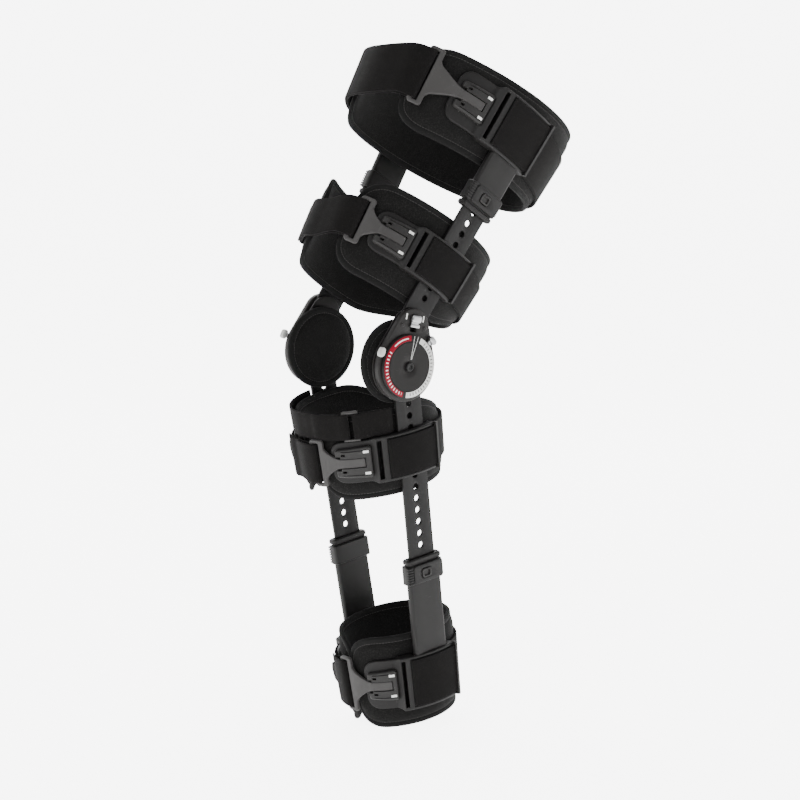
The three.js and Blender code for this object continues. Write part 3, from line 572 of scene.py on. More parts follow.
# Half width, bottom, top, corner, inside, outside and rounding of its steps
LOCK_STEPS = ((5.4, -6, -2.6, 1.2, ON_COVER, ON_COVER + 2.6, 0.7),
              (5.4, -1.2, 6, 2.2, ON_COVER, ON_COVER + 4.0, 1.2),
              (4.2, -3.4, 1, 0.8, ON_COVER, ON_COVER + 1.4, 0.3),
              (3.4, -5.4, 5.4, 0.8, COVER_FACE - 2.4, ON_COVER + 0.6, 0.2))
TAB_WHITE = hard_material("tab_white", (0.52, 0.52, 0.505), (0.35, 0.35, 0.34), 0.42, 0.0006, 0.3)
PLATED = hard_material("plated_metal", (0.42, 0.425, 0.43), (0.25, 0.25, 0.25), 0.3, 0.0005, 0.4,
                       0.00001, 1.0)
TABS = {"front": (-75.0, TAB_WHITE, "white_plastic"), "back": (39.0, PLATED, "bright_metal")}
for side, mirror in SIDES.items():
    for place, (turn, finish, slot) in TABS.items():
        lever = cut_sheet(rounded_box(*TAB_ARM), ON_COVER, TAB_FACE, 0.5)
        joined(lever, cut_sheet(rounded_box(*TAB_GRIP), ON_COVER, TAB_FACE + GRIP_RISE, 1.1))
        spin = Matrix.Rotation(math.radians(-turn), 4, "X")
        bmesh.ops.transform(lever, matrix=spin, verts=lever.verts)
        made = piece(f"{side}_{place}_stop_lever", lever, "head", finish, mirror)
        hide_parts(f"{side}_{place}_stop_tab")
        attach(made, f"{side}_{place}_stop_tab")
    slider = joined(*[cut_sheet(rounded_box(-half, half, LOCK_HEIGHT + low, LOCK_HEIGHT + high, corner),
                                x0, x1, rounding)
                      for half, low, high, corner, x0, x1, rounding in LOCK_STEPS])
    made = piece(f"{side}_lock_grip", slider, "head", PLATED, mirror)
    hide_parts(f"{side}_lock_slider")
    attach(made, f"{side}_lock_slider")


# Condyle pads: round foam discs on the inner face of each head, covered in
# black brushed loop cloth and sewn round the rim.
CONDYLE_R = 40.0
CONDYLE_Y, CONDYLE_Z = -2.0, 3.0
CONDYLE_INSIDE, CONDYLE_OUTSIDE = 54.0, 63.7
SEAM_IN = 6.0
PAD_COLOUR, PAD_FIBRE = (0.0065, 0.0064, 0.0062, 1), (0.036, 0.0350, 0.0340, 1)
BINDING_COLOUR = (0.009, 0.009, 0.0088, 1)
BINDING_RIB = 0.9
THREAD_COLOUR = (0.045, 0.044, 0.043, 1)
# Rise of a sewn pad from its edge: distance in, share of the way to each face
PAD_RISE = ((0.0, 0.0), (0.3, 0.28), (0.8, 0.42), (1.8, 0.52), (3.2, 0.56), (4.6, 0.54), (5.4, 0.46),
            (6.0, 0.40), (6.6, 0.47), (7.6, 0.60), (9.5, 0.76), (12.0, 0.88), (15.0, 0.95),
            (19.0, 0.985), (24.0, 1.0))
RISE_AT, RISE_SHARE = zip(*PAD_RISE)


def loop_cloth():
    """Brushed loop cloth: short tangled fibres in clumps, with a soft nap that
    shades in patches."""
    nodes, given, out = shader_group(
        "loop_cloth",
        [("Colour", "Color", (0.01, 0.01, 0.01, 1)), ("Fibre Colour", "Color", (0.05, 0.05, 0.05, 1)),
         ("Loop Size", "Float", 0.0009)], SURFACE_SOCKETS)
    place = nodes.add("TexCoord")["Object"]
    fine = nodes.calc("DIVIDE", 1.0, given["Loop Size"])
    loops = nodes.add("TexNoise", Vector=place, Scale=fine, Detail=3.0, Roughness=0.65)["Fac"]
    clumps = nodes.add("TexVoronoi", Vector=place, Scale=nodes.times(fine, 0.55))[0]
    nap = nodes.add("TexNoise", Vector=place, Scale=16.0, Detail=4.0, Roughness=0.6)["Fac"]
    share = nodes.times(nodes.ramp(loops, 0.48, 0.75, to_high=0.75), nodes.ramp(nap, 0.35, 0.7, 0.35))
    nodes.fill(out, Colour=nodes.mix(share, given["Colour"], given["Fibre Colour"]),
               Roughness=nodes.ramp(nap, to_low=0.82),
               Height=nodes.calc("ADD", loops, nodes.times(clumps, 0.6)))
    return nodes.tree


def stitch_row():
    """Lock stitch at a set distance from a sewn edge. The plan gives the length
    along the edge and the distance in from it, in millimetres."""
    nodes, given, out = shader_group(
        "stitch_row",
        [("Plan", "Vector", None), ("Inset", "Float", 6.0), ("Stitch", "Float", 3.2),
         ("Thread", "Float", 0.45)], [("Mask", "Float"), ("Height", "Float")])
    calc, times = nodes.calc, nodes.times
    along, inset = nodes.add("SeparateXYZ", Vector=given["Plan"])[:2]
    off = calc("ABSOLUTE", calc("SUBTRACT", inset, given["Inset"]))
    share = calc("DIVIDE", off, given["Thread"])
    line = calc("SUBTRACT", 1.0, times(share, share), clamp=True)
    dash = nodes.between(calc("FRACT", calc("DIVIDE", along, given["Stitch"])), 0.12, 0.88, 0.1)
    mask = times(line, dash)
    gully = calc("SUBTRACT", 1.0, times(share, 0.3), clamp=True)
    nodes.fill(out, Mask=mask, Height=calc("SUBTRACT", mask, gully))
    return nodes.tree


LOOP_CLOTH = loop_cloth()
STITCH_ROW = stitch_row()


def pad_material():
    """Loop cloth with a smoother binding tape inside the stitched line."""
    material, nodes, shader = new_material("pad_loop_cloth")
    calc, times = nodes.calc, nodes.times
    plan = nodes.add("Attribute", {"attribute_name": "lay"})["Vector"]
    along, inset = nodes.add("SeparateXYZ", Vector=plan)[:2]
    cloth = nodes.add("Group", {"node_tree": LOOP_CLOTH}, Colour=PAD_COLOUR, Fibre_Colour=PAD_FIBRE)
    sewn = nodes.add("Group", {"node_tree": STITCH_ROW}, Plan=plan, Inset=SEAM_IN)
    tape = nodes.ramp(inset, SEAM_IN - 0.9, SEAM_IN - 0.6, 1.0, 0.0)
    ribs = calc("SINE", times(along, 2 * math.pi / BINDING_RIB))
    ribbed = nodes.mix(1.0, BINDING_COLOUR, nodes.ramp(ribs, -1.0, 1.0, 0.75, 1.35), "MULTIPLY")
    colour = nodes.mix(tape, cloth["Colour"], ribbed)
    colour = nodes.mix(sewn["Mask"], colour, THREAD_COLOUR)
    pile = times(cloth["Height"], calc("SUBTRACT", 1.0, tape))
    raised = calc("ADD", pile, times(times(ribs, tape), 0.3))
    raised = calc("ADD", raised, sewn["Height"])
    coat(nodes, shader, colour, cloth["Roughness"], raised, 0.7, 0.0003,
         Specular_IOR_Level=0.06, Sheen_Weight=0.04, Sheen_Roughness=0.5)
    return material


def pad_rise(inset):
    return np.interp(inset, RISE_AT, RISE_SHARE)


PAD_CLOTH = pad_material()
for side, mirror in SIDES.items():
    middle = (CONDYLE_INSIDE + CONDYLE_OUTSIDE) / 2
    half = (CONDYLE_OUTSIDE - CONDYLE_INSIDE) / 2
    insets = [*RISE_AT, 30.0, 36.0]
    profile = [(CONDYLE_R - d, middle + half * pad_rise(d)) for d in reversed(insets)]
    profile += [(CONDYLE_R - d, middle - half * pad_rise(d)) for d in insets[1:]]
    profile = [(0, middle + half), *profile, (0, middle - half)]
    disc = spun(profile, CONDYLE_Y, CONDYLE_Z, 96)
    plan = []
    for vert in disc.verts:
        y, z = vert.co.y - CONDYLE_Y, vert.co.z - CONDYLE_Z
        plan.append((math.atan2(z, y) * CONDYLE_R, CONDYLE_R - math.hypot(y, z), 0))
    made = piece(f"{side}_condyle_cushion", disc, "head", PAD_CLOTH, mirror, 80, plan)
    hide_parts(f"{side}_condyle_pad")
    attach(made, "hinge_heads")


# Cuff liners: four foam pads in black loop cloth, bound and stitched round the
# edge, each bent to an oval that is open at the front, with two rounded ends.
# They lie against the plates, which are fixed to the uprights.
PAD_THICK = 8.0
PAD_ROUND = 40.0
PLATE_SKIN = 3.0
SLEEVE_WALL = 2.0
CLEARANCE = 0.3
PAD_BED = 0.42 * PAD_THICK
END_FILL, END_CURVE = 0.3, 2.4
BACK_START, BACK_EASE = 0.25, 0.6
PUFF, PUFF_ALONG, PUFF_UP = 0.25, 23.0, 17.0
PUFF_FROM, PUFF_EASE, PUFF_INSIDE = 8, 14, 0.6
CROWN_PLAIN, CROWN_SLEEVE = 7.4, 9.4
GIRTH_STEPS = 1441
EDGE_POINTS, END_POINTS = 900, 24
LINER_STEP, LINER_ROW = 5.0, 6.0
EDGE_STEPS = RISE_AT[:-1]
END_STEPS = EDGE_STEPS + (23.0, 27.0, 31.0, 35.0, 40.0)
# z: height on the upright; depth, shift: half depth and its offset to the back;
# strap: half width of the straps; up, down: pad height; cut_up, cut_down: how far
# the back is cut away; tilt: rise of the edges to the back; front, loop: stations
# of the pad's front end and of the hook's loop; sag: drop of the front strap;
# fold: how far that strap is folded back on itself; reach: scale of the other
# stations; mouth: the sleeve's open end, 0 for none.
CUFF_COLUMNS = ("name", "upright", "z", "depth", "shift", "strap", "up", "down", "cut_up", "cut_down",
                "tilt", "front", "loop", "sag", "fold", "reach", "mouth")
CUFF_ROWS = (
    ("upper_thigh", "thigh", 214.0, 108.0, -10.0, 25.4, 44.0, 43.0, 0, 0,
     10.0, 127.0, 104.0, 9.0, 155.0, 1.0, 127.5),
    ("lower_thigh", "thigh", 65.0, 85.0, -5.0, 19.0, 47.0, 46.0, 0, 16.0,
     2.0, 112.0, 88.0, 8.0, 96.0, 1.0, 0),
    ("upper_calf", "calf", -91.0, 63.5, 0.0, 19.5, 45.0, 40.0, 18.0, 0,
     0.0, 101.0, 88.0, 0.0, 55.0, 1.0, 0),
    ("lower_calf", "calf", -323.0, 51.0, 2.0, 24.5, 48.0, 48.0, 0, 0,
     0.0, 92.0, 80.0, 0.0, 27.0, 0.84, -197.5),
)


def ease(value):
    t = np.clip(value, 0.0, 1.0)
    return t * t * (3 - 2 * t)


def run_of(line):
    """Length along a line up to each of its points."""
    return np.concatenate([[0], np.cumsum(np.linalg.norm(np.diff(line, axis=0), axis=1))])


class Cuff:
    """Oval surface of a cuff, spread as the upright splays. A point on it
    is a station along the girth from the upright, positive to the back, a
    height from the cuff's centre line and a distance out from the pad's inside."""

    def __init__(self, row):
        self.__dict__.update(zip(CUFF_COLUMNS, row))
        bar = BARS[self.upright]
        self.flare = math.tan(math.radians(bar["splay"]))
        under = SLEEVE_WALL + 2 * CLEARANCE if self.mouth else CLEARANCE
        self.width = BAR_INSIDE + self.flare * (self.z - bar["bend"]) - under - PAD_THICK
        self.crown = PAD_THICK + (CROWN_SLEEVE if self.mouth else CROWN_PLAIN)
        start = math.asin(-self.shift / (self.depth + PAD_THICK))
        self.turns = start + np.linspace(0, 2 * math.pi, GIRTH_STEPS)
        self.lengths = run_of(self.at_turn(self.turns, PAD_THICK + PLATE_SKIN, np.zeros(GIRTH_STEPS)))
        self.girth = self.lengths[-1]
        self.behind = np.interp(math.pi - start, self.turns, self.lengths)
        self.ahead = self.girth - self.behind

    def at_turn(self, turn, out, height):
        nx = np.cos(turn) / self.width
        ny = np.sin(turn) / self.depth
        far = (out + self.flare * height) / np.hypot(nx, ny)
        return np.stack([self.width * np.cos(turn) + nx * far,
                         self.shift + self.depth * np.sin(turn) + ny * far,
                         self.z + height], axis=-1)

    def turn_of(self, station):
        laps = np.floor(station / self.girth)
        return np.interp(station - laps * self.girth, self.lengths, self.turns) + 2 * math.pi * laps

    def at(self, station, out, height):
        station, out, height = np.broadcast_arrays(station, out, height)
        return self.at_turn(self.turn_of(station), out, height)


CUFFS = [Cuff(row) for row in CUFF_ROWS]


def slab(cuff, stations, heights, inner, outer, keep=None):
    """Closed body over a grid of girth stations and heights. inner and outer are
    how far out its faces lie; keep says which cells are solid. Returns the
    bmesh and each point's place in the grid."""
    cells = np.ones(np.subtract(heights.shape, 1), bool) if keep is None else keep
    ringed = np.pad(cells, 1)
    faces = [cuff.at(stations[:, None], out, heights) for out in (inner, outer)]
    bm, verts, grid = bmesh.new(), {}, []

    def corner(i, j, side):
        if (i, j, side) not in verts:
            verts[i, j, side] = bm.verts.new(faces[side][i, j])
            grid.append((i, j))
        return verts[i, j, side]

    for i, j in np.argwhere(cells):
        loop = ((i, j), (i + 1, j), (i + 1, j + 1), (i, j + 1))
        bm.faces.new([corner(*c, 1) for c in loop])
        bm.faces.new([corner(*c, 0) for c in reversed(loop)])
        for n, beside in enumerate(((i + 1, j), (i + 2, j + 1), (i + 1, j + 2), (i, j + 1))):
            if not ringed[beside]:
                a, b = loop[n], loop[(n + 1) % 4]
                bm.faces.new([corner(*a, 1), corner(*a, 0), corner(*b, 0), corner(*b, 1)])
    return bm, grid


def close_steps(low, high, fine, step):
    """Values from low to high, close together at both ends and step apart between."""
    near = [d for d in fine if d < (high - low) / 2]
    count = max(2, round((high - low - 2 * near[-1]) / step))
    middle = np.linspace(low + near[-1], high - near[-1], count + 1)
    return np.array([low + d for d in near] + list(middle[1:-1]) + [high - d for d in reversed(near)])


def pad_edges(cuff, station):
    """Lower and upper edge of a liner at stations along the girth."""
    inset = np.minimum(station + cuff.front, cuff.behind + cuff.front - station) / PAD_ROUND
    t = 1 - np.clip(inset, 0, 1)
    fill = END_FILL + (1 - END_FILL) * (1 - t ** END_CURVE) ** (1 / END_CURVE)
    away = np.abs(station - cuff.behind / 2) / (cuff.behind / 2)
    back = 1 - ease((away - BACK_START) / BACK_EASE)
    rise = cuff.tilt * np.sin(cuff.turn_of(station))
    return rise - cuff.down * fill + cuff.cut_down * back, rise + cuff.up * fill - cuff.cut_up * back


def joined_lines(*lines):
    """Points of several lines in turn, each given as its stations and heights."""
    return np.concatenate([np.stack(np.broadcast_arrays(*line), 1) for line in lines])


def to_edge(edge, points):
    """Index of the nearest point of an edge line, and the distance to it."""
    flat = points.reshape(-1, 2)
    nearest = np.array([np.argmin(((edge - point) ** 2).sum(1)) for point in flat])
    far = np.linalg.norm(edge[nearest] - flat, axis=1)
    return nearest.reshape(points.shape[:-1]), far.reshape(points.shape[:-1])


def liner(cuff):
    """Liner's bmesh, and each point's length along the seam and distance in."""
    first, last = -cuff.front, cuff.behind + cuff.front
    stations = close_steps(first, last, END_STEPS, LINER_STEP)
    low, high = pad_edges(cuff, stations)
    tall = cuff.up + cuff.down
    rows = close_steps(0, tall, EDGE_STEPS, LINER_ROW) / tall
    heights = low[:, None] + rows * (high - low)[:, None]
    fine = np.linspace(first, last, EDGE_POINTS)
    fine_low, fine_high = pad_edges(cuff, fine)
    edge = joined_lines((fine, fine_low),
                        (last, np.linspace(fine_low[-1], fine_high[-1], END_POINTS)),
                        (fine[::-1], fine_high[::-1]),
                        (first, np.linspace(fine_high[0], fine_low[0], END_POINTS)))
    points = np.stack(np.broadcast_arrays(stations[:, None], heights), -1)
    nearest, inset = to_edge(edge, points)
    inset[0, :] = inset[-1, :] = inset[:, 0] = inset[:, -1] = 0
    rise = pad_rise(inset)
    waves = np.abs(np.sin(stations / PUFF_ALONG)[:, None] * np.sin(heights / PUFF_UP))
    puff = PUFF * waves * ease((inset - PUFF_FROM) / PUFF_EASE)
    outer = PAD_BED + (PAD_THICK - PAD_BED) * rise - puff
    inner = PAD_BED - PAD_BED * rise + PUFF_INSIDE * puff
    bm, grid = slab(cuff, stations, heights, inner, outer)
    run = run_of(edge)
    return bm, [(run[nearest[spot]], inset[spot], 0) for spot in grid]


for cuff in CUFFS:
    bm, sewn = liner(cuff)
    made = piece(f"{cuff.name}_liner", bm, cuff.upright, PAD_CLOTH, 1, 80, sewn)
    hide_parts(f"{cuff.name}_pad")
    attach(made, cuff.upright)


# Straps: black webbing with a brushed loop face and a woven edge. Front straps go
# from a slot in the far plate round the bar of a hook and fasten back on themselves,
# with a finger tab. Back straps go from pin to pin round the back of the liner.
STRAP_THICK = 2.0
STRAP_MID = STRAP_THICK / 2
STRAP_LIFT = 0.9
STRAP_RAMP = 30.0
STRAP_DIP = 2.4
STRAP_BED = PAD_THICK + STRAP_LIFT
STRAP_COLOUR, STRAP_FIBRE = (0.0050, 0.0046, 0.0045, 1), (0.024, 0.0225, 0.0220, 1)
SLOT_FROM, SLOT_TO = 33.0, 38.0
PIN_BACK = 28.0
PLATE_BACK, PLATE_FRONT = 27.0, 82.0
HOOK_BAR, HOOK_SLOT, HOOK_THICK = 5.0, 5.0, 3.0
FINGER_HALF, FINGER_LONG, FINGER_ROUND, FINGER_SHOULDER = 9.5, 13, 6, 7
FINGER_LIFT = ((4, 1.0), (10, 4.0), (FINGER_LONG, 6.0))
PATH_STEP = 3.0
PLATE_CLIMB = 9
FOLD_DROP = 26
LAYER_GAP = 0.15
SAG_START, SAG_EASE = 0.35, 0.65
BACK_POINTS, BACK_DROP, BACK_TRIM = 120, 10, 0.2
WEFT, WARP = 1.3, 1.0
# Share of the half width and of the thickness, from the woven edge inwards
WOVEN_EDGE = ((1.0, 0.30), (0.99, 0.72), (0.965, 0.96), (0.92, 0.9), (0.88, 1.0), (0.5, 1.0))
WIDTHS, THICKS = np.array([(-w, t) for w, t in WOVEN_EDGE] + [(0.0, 1.0), *reversed(WOVEN_EDGE)]).T


def strap_material():
    material, nodes, shader = new_material("strap_webbing")
    plan = nodes.add("Attribute", {"attribute_name": "lay"})["Vector"]
    along, across = nodes.add("SeparateXYZ", Vector=plan)[:2]
    cloth = nodes.add("Group", {"node_tree": LOOP_CLOTH}, Colour=STRAP_COLOUR,
                      Fibre_Colour=STRAP_FIBRE, Loop_Size=0.0006)
    weft, warp = [nodes.calc("SINE", nodes.times(way, 2 * math.pi / pitch))
                  for way, pitch in ((along, WEFT), (across, WARP))]
    weave = nodes.times(weft, warp)
    colour = nodes.mix(1.0, cloth["Colour"], nodes.ramp(weave, -1.0, 1.0, 0.9, 1.1), "MULTIPLY")
    raised = nodes.calc("MULTIPLY_ADD", weave, 0.35, cloth["Height"])
    coat(nodes, shader, colour, cloth["Roughness"], raised, 0.5, 0.0002,
         Specular_IOR_Level=0.08, Sheen_Weight=0.03, Sheen_Roughness=0.45)
    return material


def smooth_path(points, step=2.5):
    """Evenly stepped line through corner points, with its corners eased."""
    points = np.asarray(points, float)
    for repeat in range(3):
        cut = [points[0]]
        for a, b in zip(points, points[1:]):
            cut += [a * 0.75 + b * 0.25, a * 0.25 + b * 0.75]
        points = np.array(cut + [points[-1]])
    run = run_of(points)
    even = np.linspace(0, run[-1], max(8, round(run[-1] / step)) + 1)
    return np.stack([np.interp(even, run, points[:, k]) for k in (0, 1)], 1), even


def ribbon(cuff, path, run, centre, half):
    """Webbing along a path of (station, distance out). centre and half are the
    height of its middle and half its width at each point of the path."""
    ahead = np.gradient(path, axis=0)
    ahead /= np.linalg.norm(ahead, axis=1)[:, None]
    normal = np.stack([-ahead[:, 1], ahead[:, 0]], 1)
    across = np.broadcast_to(half, len(run))[:, None] * WIDTHS
    heights = np.broadcast_to(centre, len(run))[:, None] + across
    bm, plan, faces = bmesh.new(), [], []
    for way in (1, -1):
        place = path[:, None] + normal[:, None] * (THICKS * STRAP_MID * way)[:, None]
        spots = cuff.at(place[..., 0], place[..., 1], heights)
        faces.append([[bm.verts.new(spot) for spot in line] for line in spots])
        plan += [(run[i], offset, way) for i in range(len(run)) for offset in across[i]]
    top, bottom = faces
    last = len(WIDTHS) - 1
    for a, b, under_a, under_b in zip(top, top[1:], bottom, bottom[1:]):
        for j in range(last):
            bm.faces.new((a[j], b[j], b[j + 1], a[j + 1]))
            bm.faces.new((under_a[j], under_a[j + 1], under_b[j + 1], under_b[j]))
        bm.faces.new((a[0], under_a[0], under_b[0], b[0]))
        bm.faces.new((a[last], b[last], under_b[last], under_a[last]))
    for end in (0, -1):
        for j in range(last):
            bm.faces.new((top[end][j], top[end][j + 1], bottom[end][j + 1], bottom[end][j]))
    return bm, plan


def on_pads(cuff, lead):
    """Underside of a strap that comes from the open front on to the liner."""
    near = -cuff.front - lead
    far = -cuff.ahead - near

    def height(station):
        beyond = np.maximum(station - near, far - station)
        return STRAP_BED - STRAP_DIP * (1 - ease(beyond / STRAP_RAMP + 1))
    return height


def front_strap(cuff):
    bar_to = -cuff.loop - HOOK_BAR - HOOK_SLOT
    bar_from = bar_to - HOOK_BAR
    far_slot = -cuff.ahead + SLOT_TO * cuff.reach
    far_plate = -cuff.ahead + PLATE_FRONT * cuff.reach
    on_pad = on_pads(cuff, 1)

    def middle_at(station):
        climb = ease((far_plate + 1 - station) / PLATE_CLIMB + 1)
        return on_pad(station) + climb * PLATE_SKIN + STRAP_MID

    points = [(far_slot - 2, PAD_THICK + 1.2), (far_slot + 1.5, PAD_THICK + 3.5)]
    points += [(s, middle_at(s)) for s in np.arange(far_slot + 5, bar_from - 1, PATH_STEP)]
    bed = STRAP_BED + STRAP_MID
    top = PAD_THICK + PLATE_SKIN + HOOK_THICK + 0.7 + STRAP_MID
    points += [(bar_to - 1, bed), (bar_to + 1.6, bed + 0.4), (bar_to + 2.3, (bed + top) / 2),
               (bar_to + 1.6, top - 0.3), (bar_to - 1, top), (bar_from - 1, top - 0.2)]
    for station in np.arange(bar_from - 6, bar_from - cuff.fold, -PATH_STEP):
        laid = middle_at(station) + STRAP_THICK + LAYER_GAP
        points.append((station, laid + (top - laid) * ease((station - bar_from) / FOLD_DROP + 1)))
    end, tip = points[-1]
    points += [(end - along, tip + lift) for along, lift in FINGER_LIFT]
    path, run = smooth_path(points)
    middle = (-cuff.ahead + (SLOT_TO + 1) * cuff.reach + 3 + bar_from) / 2
    away = np.abs(path[:, 0] - middle) / (bar_from - 4 - middle)
    centre = -cuff.sag * (1 - ease((away - SAG_START) / SAG_EASE))
    left = run[-1] - run
    shoulder = np.sqrt(np.clip((left - FINGER_LONG) / FINGER_SHOULDER, 0, 1))
    tab = np.sqrt(np.clip(1 - (1 - np.clip(left / FINGER_ROUND, 0, 1)) ** 2, 0.05, 1))
    full = FINGER_HALF + (cuff.strap - FINGER_HALF) * shoulder
    half = np.where(left < FINGER_LONG, FINGER_HALF * tab, full)
    return ribbon(cuff, path, run, centre, half)


def back_strap(cuff):
    on = cuff.crown + STRAP_LIFT + STRAP_MID
    off = STRAP_BED + STRAP_MID
    start = -PIN_BACK * cuff.reach + CLEARANCE + 0.6
    stations = np.linspace(start, cuff.behind - start, BACK_POINTS)
    near = np.minimum(stations, cuff.behind - stations)
    drop = ease((near - PLATE_BACK - 1) / BACK_DROP)
    path, run = smooth_path(np.stack([stations, on + (off - on) * drop], 1), PATH_STEP)
    return ribbon(cuff, path, run, 0.0, cuff.strap - BACK_TRIM)


STRAP_CLOTH = strap_material()
for cuff in CUFFS:
    for kind, make in (("front", front_strap), ("back", back_strap)):
        bm, plan = make(cuff)
        made = piece(f"{cuff.name}_{kind}_webbing", bm, cuff.upright, STRAP_CLOTH, 1, 60, plan)
        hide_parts(f"{cuff.name}_{kind}_strap")
        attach(made, cuff.upright)


# Cuff plates: charcoal mouldings, one a side on each cuff, with a smooth front for
# the catch, then a slot, and a strap panel framed by a pin bar, two rails and a thin
# bridge. They are hollow for the upright; the end ones slide on it with a sleeve.
RAIL_WIDTH, RAIL_RISE = 2.6, 1.4
BRIDGE_DEEP, BRIDGE_RISE, BRIDGE_ROOM = 2.6, 1.3, 2.5
RAMP = 6
NOSE_LONG, NOSE_SHARE, NOSE_END, NOSE_CURVE = 15.0, 0.92, 0.42, 2.3
PLATE_ROUND, PLATE_LEAST = 1.2, 0.8
# Half width and depth of the hollow, on a plain plate and on one with a sleeve
HOLLOW_PLAIN, HOLLOW_SLEEVE = (15.6, 3.9), (19.4, 8.2)
SLEEVE_HALF = 19.0
SLEEVE_LIP, SLEEVE_LIP_OVER = 5.2, 1.6
SLEEVE_CORNER, LIP_CORNER = 2.6, 3.2
SLEEVE_EDGE, LIP_EDGE = 0.4, 1.1
SLEEVE_SHORT = 8
TUBE_BACK, TUBE_FACE = -CLEARANCE - SLEEVE_WALL, BAR_THICK + CLEARANCE + SLEEVE_WALL
BORE = (BAR_WIDTH / 2 + CLEARANCE, -CLEARANCE, BAR_THICK + CLEARANCE, 0.6)
BUTTON_HALF, BUTTON_LENGTH, BUTTON_ROOM = 5.5, 9.0, 0.4
CLIP_START, CLIP_LENGTH = 6.5, 19.0
TUBE_STEPS = 4
PLATE_CHARCOAL = hard_material("plate_charcoal", (0.0088, 0.0083, 0.0081), (0.06, 0.06, 0.06), 0.5,
                               0.0007, 0.35)


def near_ends(low, high, offsets):
    return [low + d for d in offsets] + [high - d for d in offsets]


def with_breaks(low, high, step, breaks, gap, more=()):
    """Even values from low to high, a close pair at every break, and some more."""
    values = np.linspace(low, high, max(2, round((high - low) / step)) + 1)
    pairs = [p for b in breaks for p in (b - gap, b + gap) if low + gap < p < high - gap]
    values = [v for v in values if all(abs(v - p) > gap for p in pairs)]
    return np.unique([low, high, *values, *pairs, *more])


def mids(values):
    return (values[:-1] + values[1:]) / 2


def edge_drop(inset, radius):
    """Fall of a rounded edge at a distance in from it."""
    t = 1 - np.clip(inset / radius, 0, 1)
    return radius * (1 - np.sqrt(np.clip(1 - t * t, 0, 1)))


def block_slab(cuff, stations, low, high, inner, outer):
    """Plain bent block between two heights."""
    heights = np.repeat(np.linspace(low, high, 3)[None, :], len(stations), 0)
    return slab(cuff, stations, heights, inner, outer)[0]


def plate_shape(cuff):
    front, pin = -PLATE_FRONT * cuff.reach, -PIN_BACK * cuff.reach
    slot_from, slot_to = -SLOT_TO * cuff.reach, -SLOT_FROM * cuff.reach
    rise = slot_from - cuff.reach
    full = cuff.strap + RAIL_WIDTH + 0.6
    channel, hollow = HOLLOW_SLEEVE if cuff.mouth else HOLLOW_PLAIN
    stations = with_breaks(front, PLATE_BACK, 3.0, [slot_from, slot_to, pin, -channel, channel], 0.3,
                           [front + d for d in (0.3, 0.7, 1.2, 2.0, 3.2, 5.0, 7.5)])
    t = 1 - np.clip((stations - front) / NOSE_LONG, 0, 1)
    nose = NOSE_END + (1 - NOSE_END) * np.clip(1 - t ** NOSE_CURVE, 0, 1) ** (1 / NOSE_CURVE)
    half = NOSE_SHARE * full * nose
    half = (half + (full - half) * ease((stations - rise + 5) / 5))[:, None]
    rail = full - RAIL_WIDTH
    rows = with_breaks(-full, full, 3.0, [-rail, rail, -cuff.strap, cuff.strap], 0.22,
                       near_ends(-full, full, (0.3, 0.7, 1.2))) / full
    heights = half * rows
    station = stations[:, None]
    skin = PAD_THICK + PLATE_SKIN
    outer = skin + ease((station - rise + RAMP) / RAMP) * (cuff.crown - skin)
    framed = (station >= rise) & ((np.abs(rows) * full > rail) | (station <= pin))
    inset = np.minimum(np.minimum(half - np.abs(heights), station - front), PLATE_BACK - station)
    outer = np.where(framed, cuff.crown + RAIL_RISE, outer) - edge_drop(inset, PLATE_ROUND)
    inner = np.where(np.abs(station) < channel, PAD_THICK + hollow, PAD_THICK + 2 * CLEARANCE)
    inner = np.minimum(inner, outer - PLATE_LEAST)
    cell = mids(station)
    slot = (cell > slot_from) & (cell < slot_to) & (np.abs(mids(rows) * full) < cuff.strap)
    bm = slab(cuff, stations, heights, inner, outer, ~slot)[0]
    roof = cuff.crown + STRAP_LIFT + BRIDGE_ROOM
    deep = np.linspace(PLATE_BACK - BRIDGE_DEEP, PLATE_BACK, 3)
    joined(bm, block_slab(cuff, deep, -full, full, roof, roof + BRIDGE_RISE))
    for way in (-1, 1):
        low, high = sorted((way * (cuff.strap + CLEARANCE), way * full))
        joined(bm, block_slab(cuff, deep, low, high, cuff.crown - 0.5, roof + 0.2))
    return bm


def tube_section(half_y, x0, x1, corner):
    """Rounded rectangle in the section of an upright, as (x, y) points, with the
    two sides of the button's window marked on its outer face."""
    corner = min(corner, (x1 - x0) / 2 - 0.05)
    points = [(x, y) for y, x in rounded_box(-half_y, half_y, x0, x1, corner, TUBE_STEPS)]
    wide = BUTTON_HALF + BUTTON_ROOM
    points[TUBE_STEPS + 1:TUBE_STEPS + 1] = [(x1, wide), (x1, -wide)]
    return points


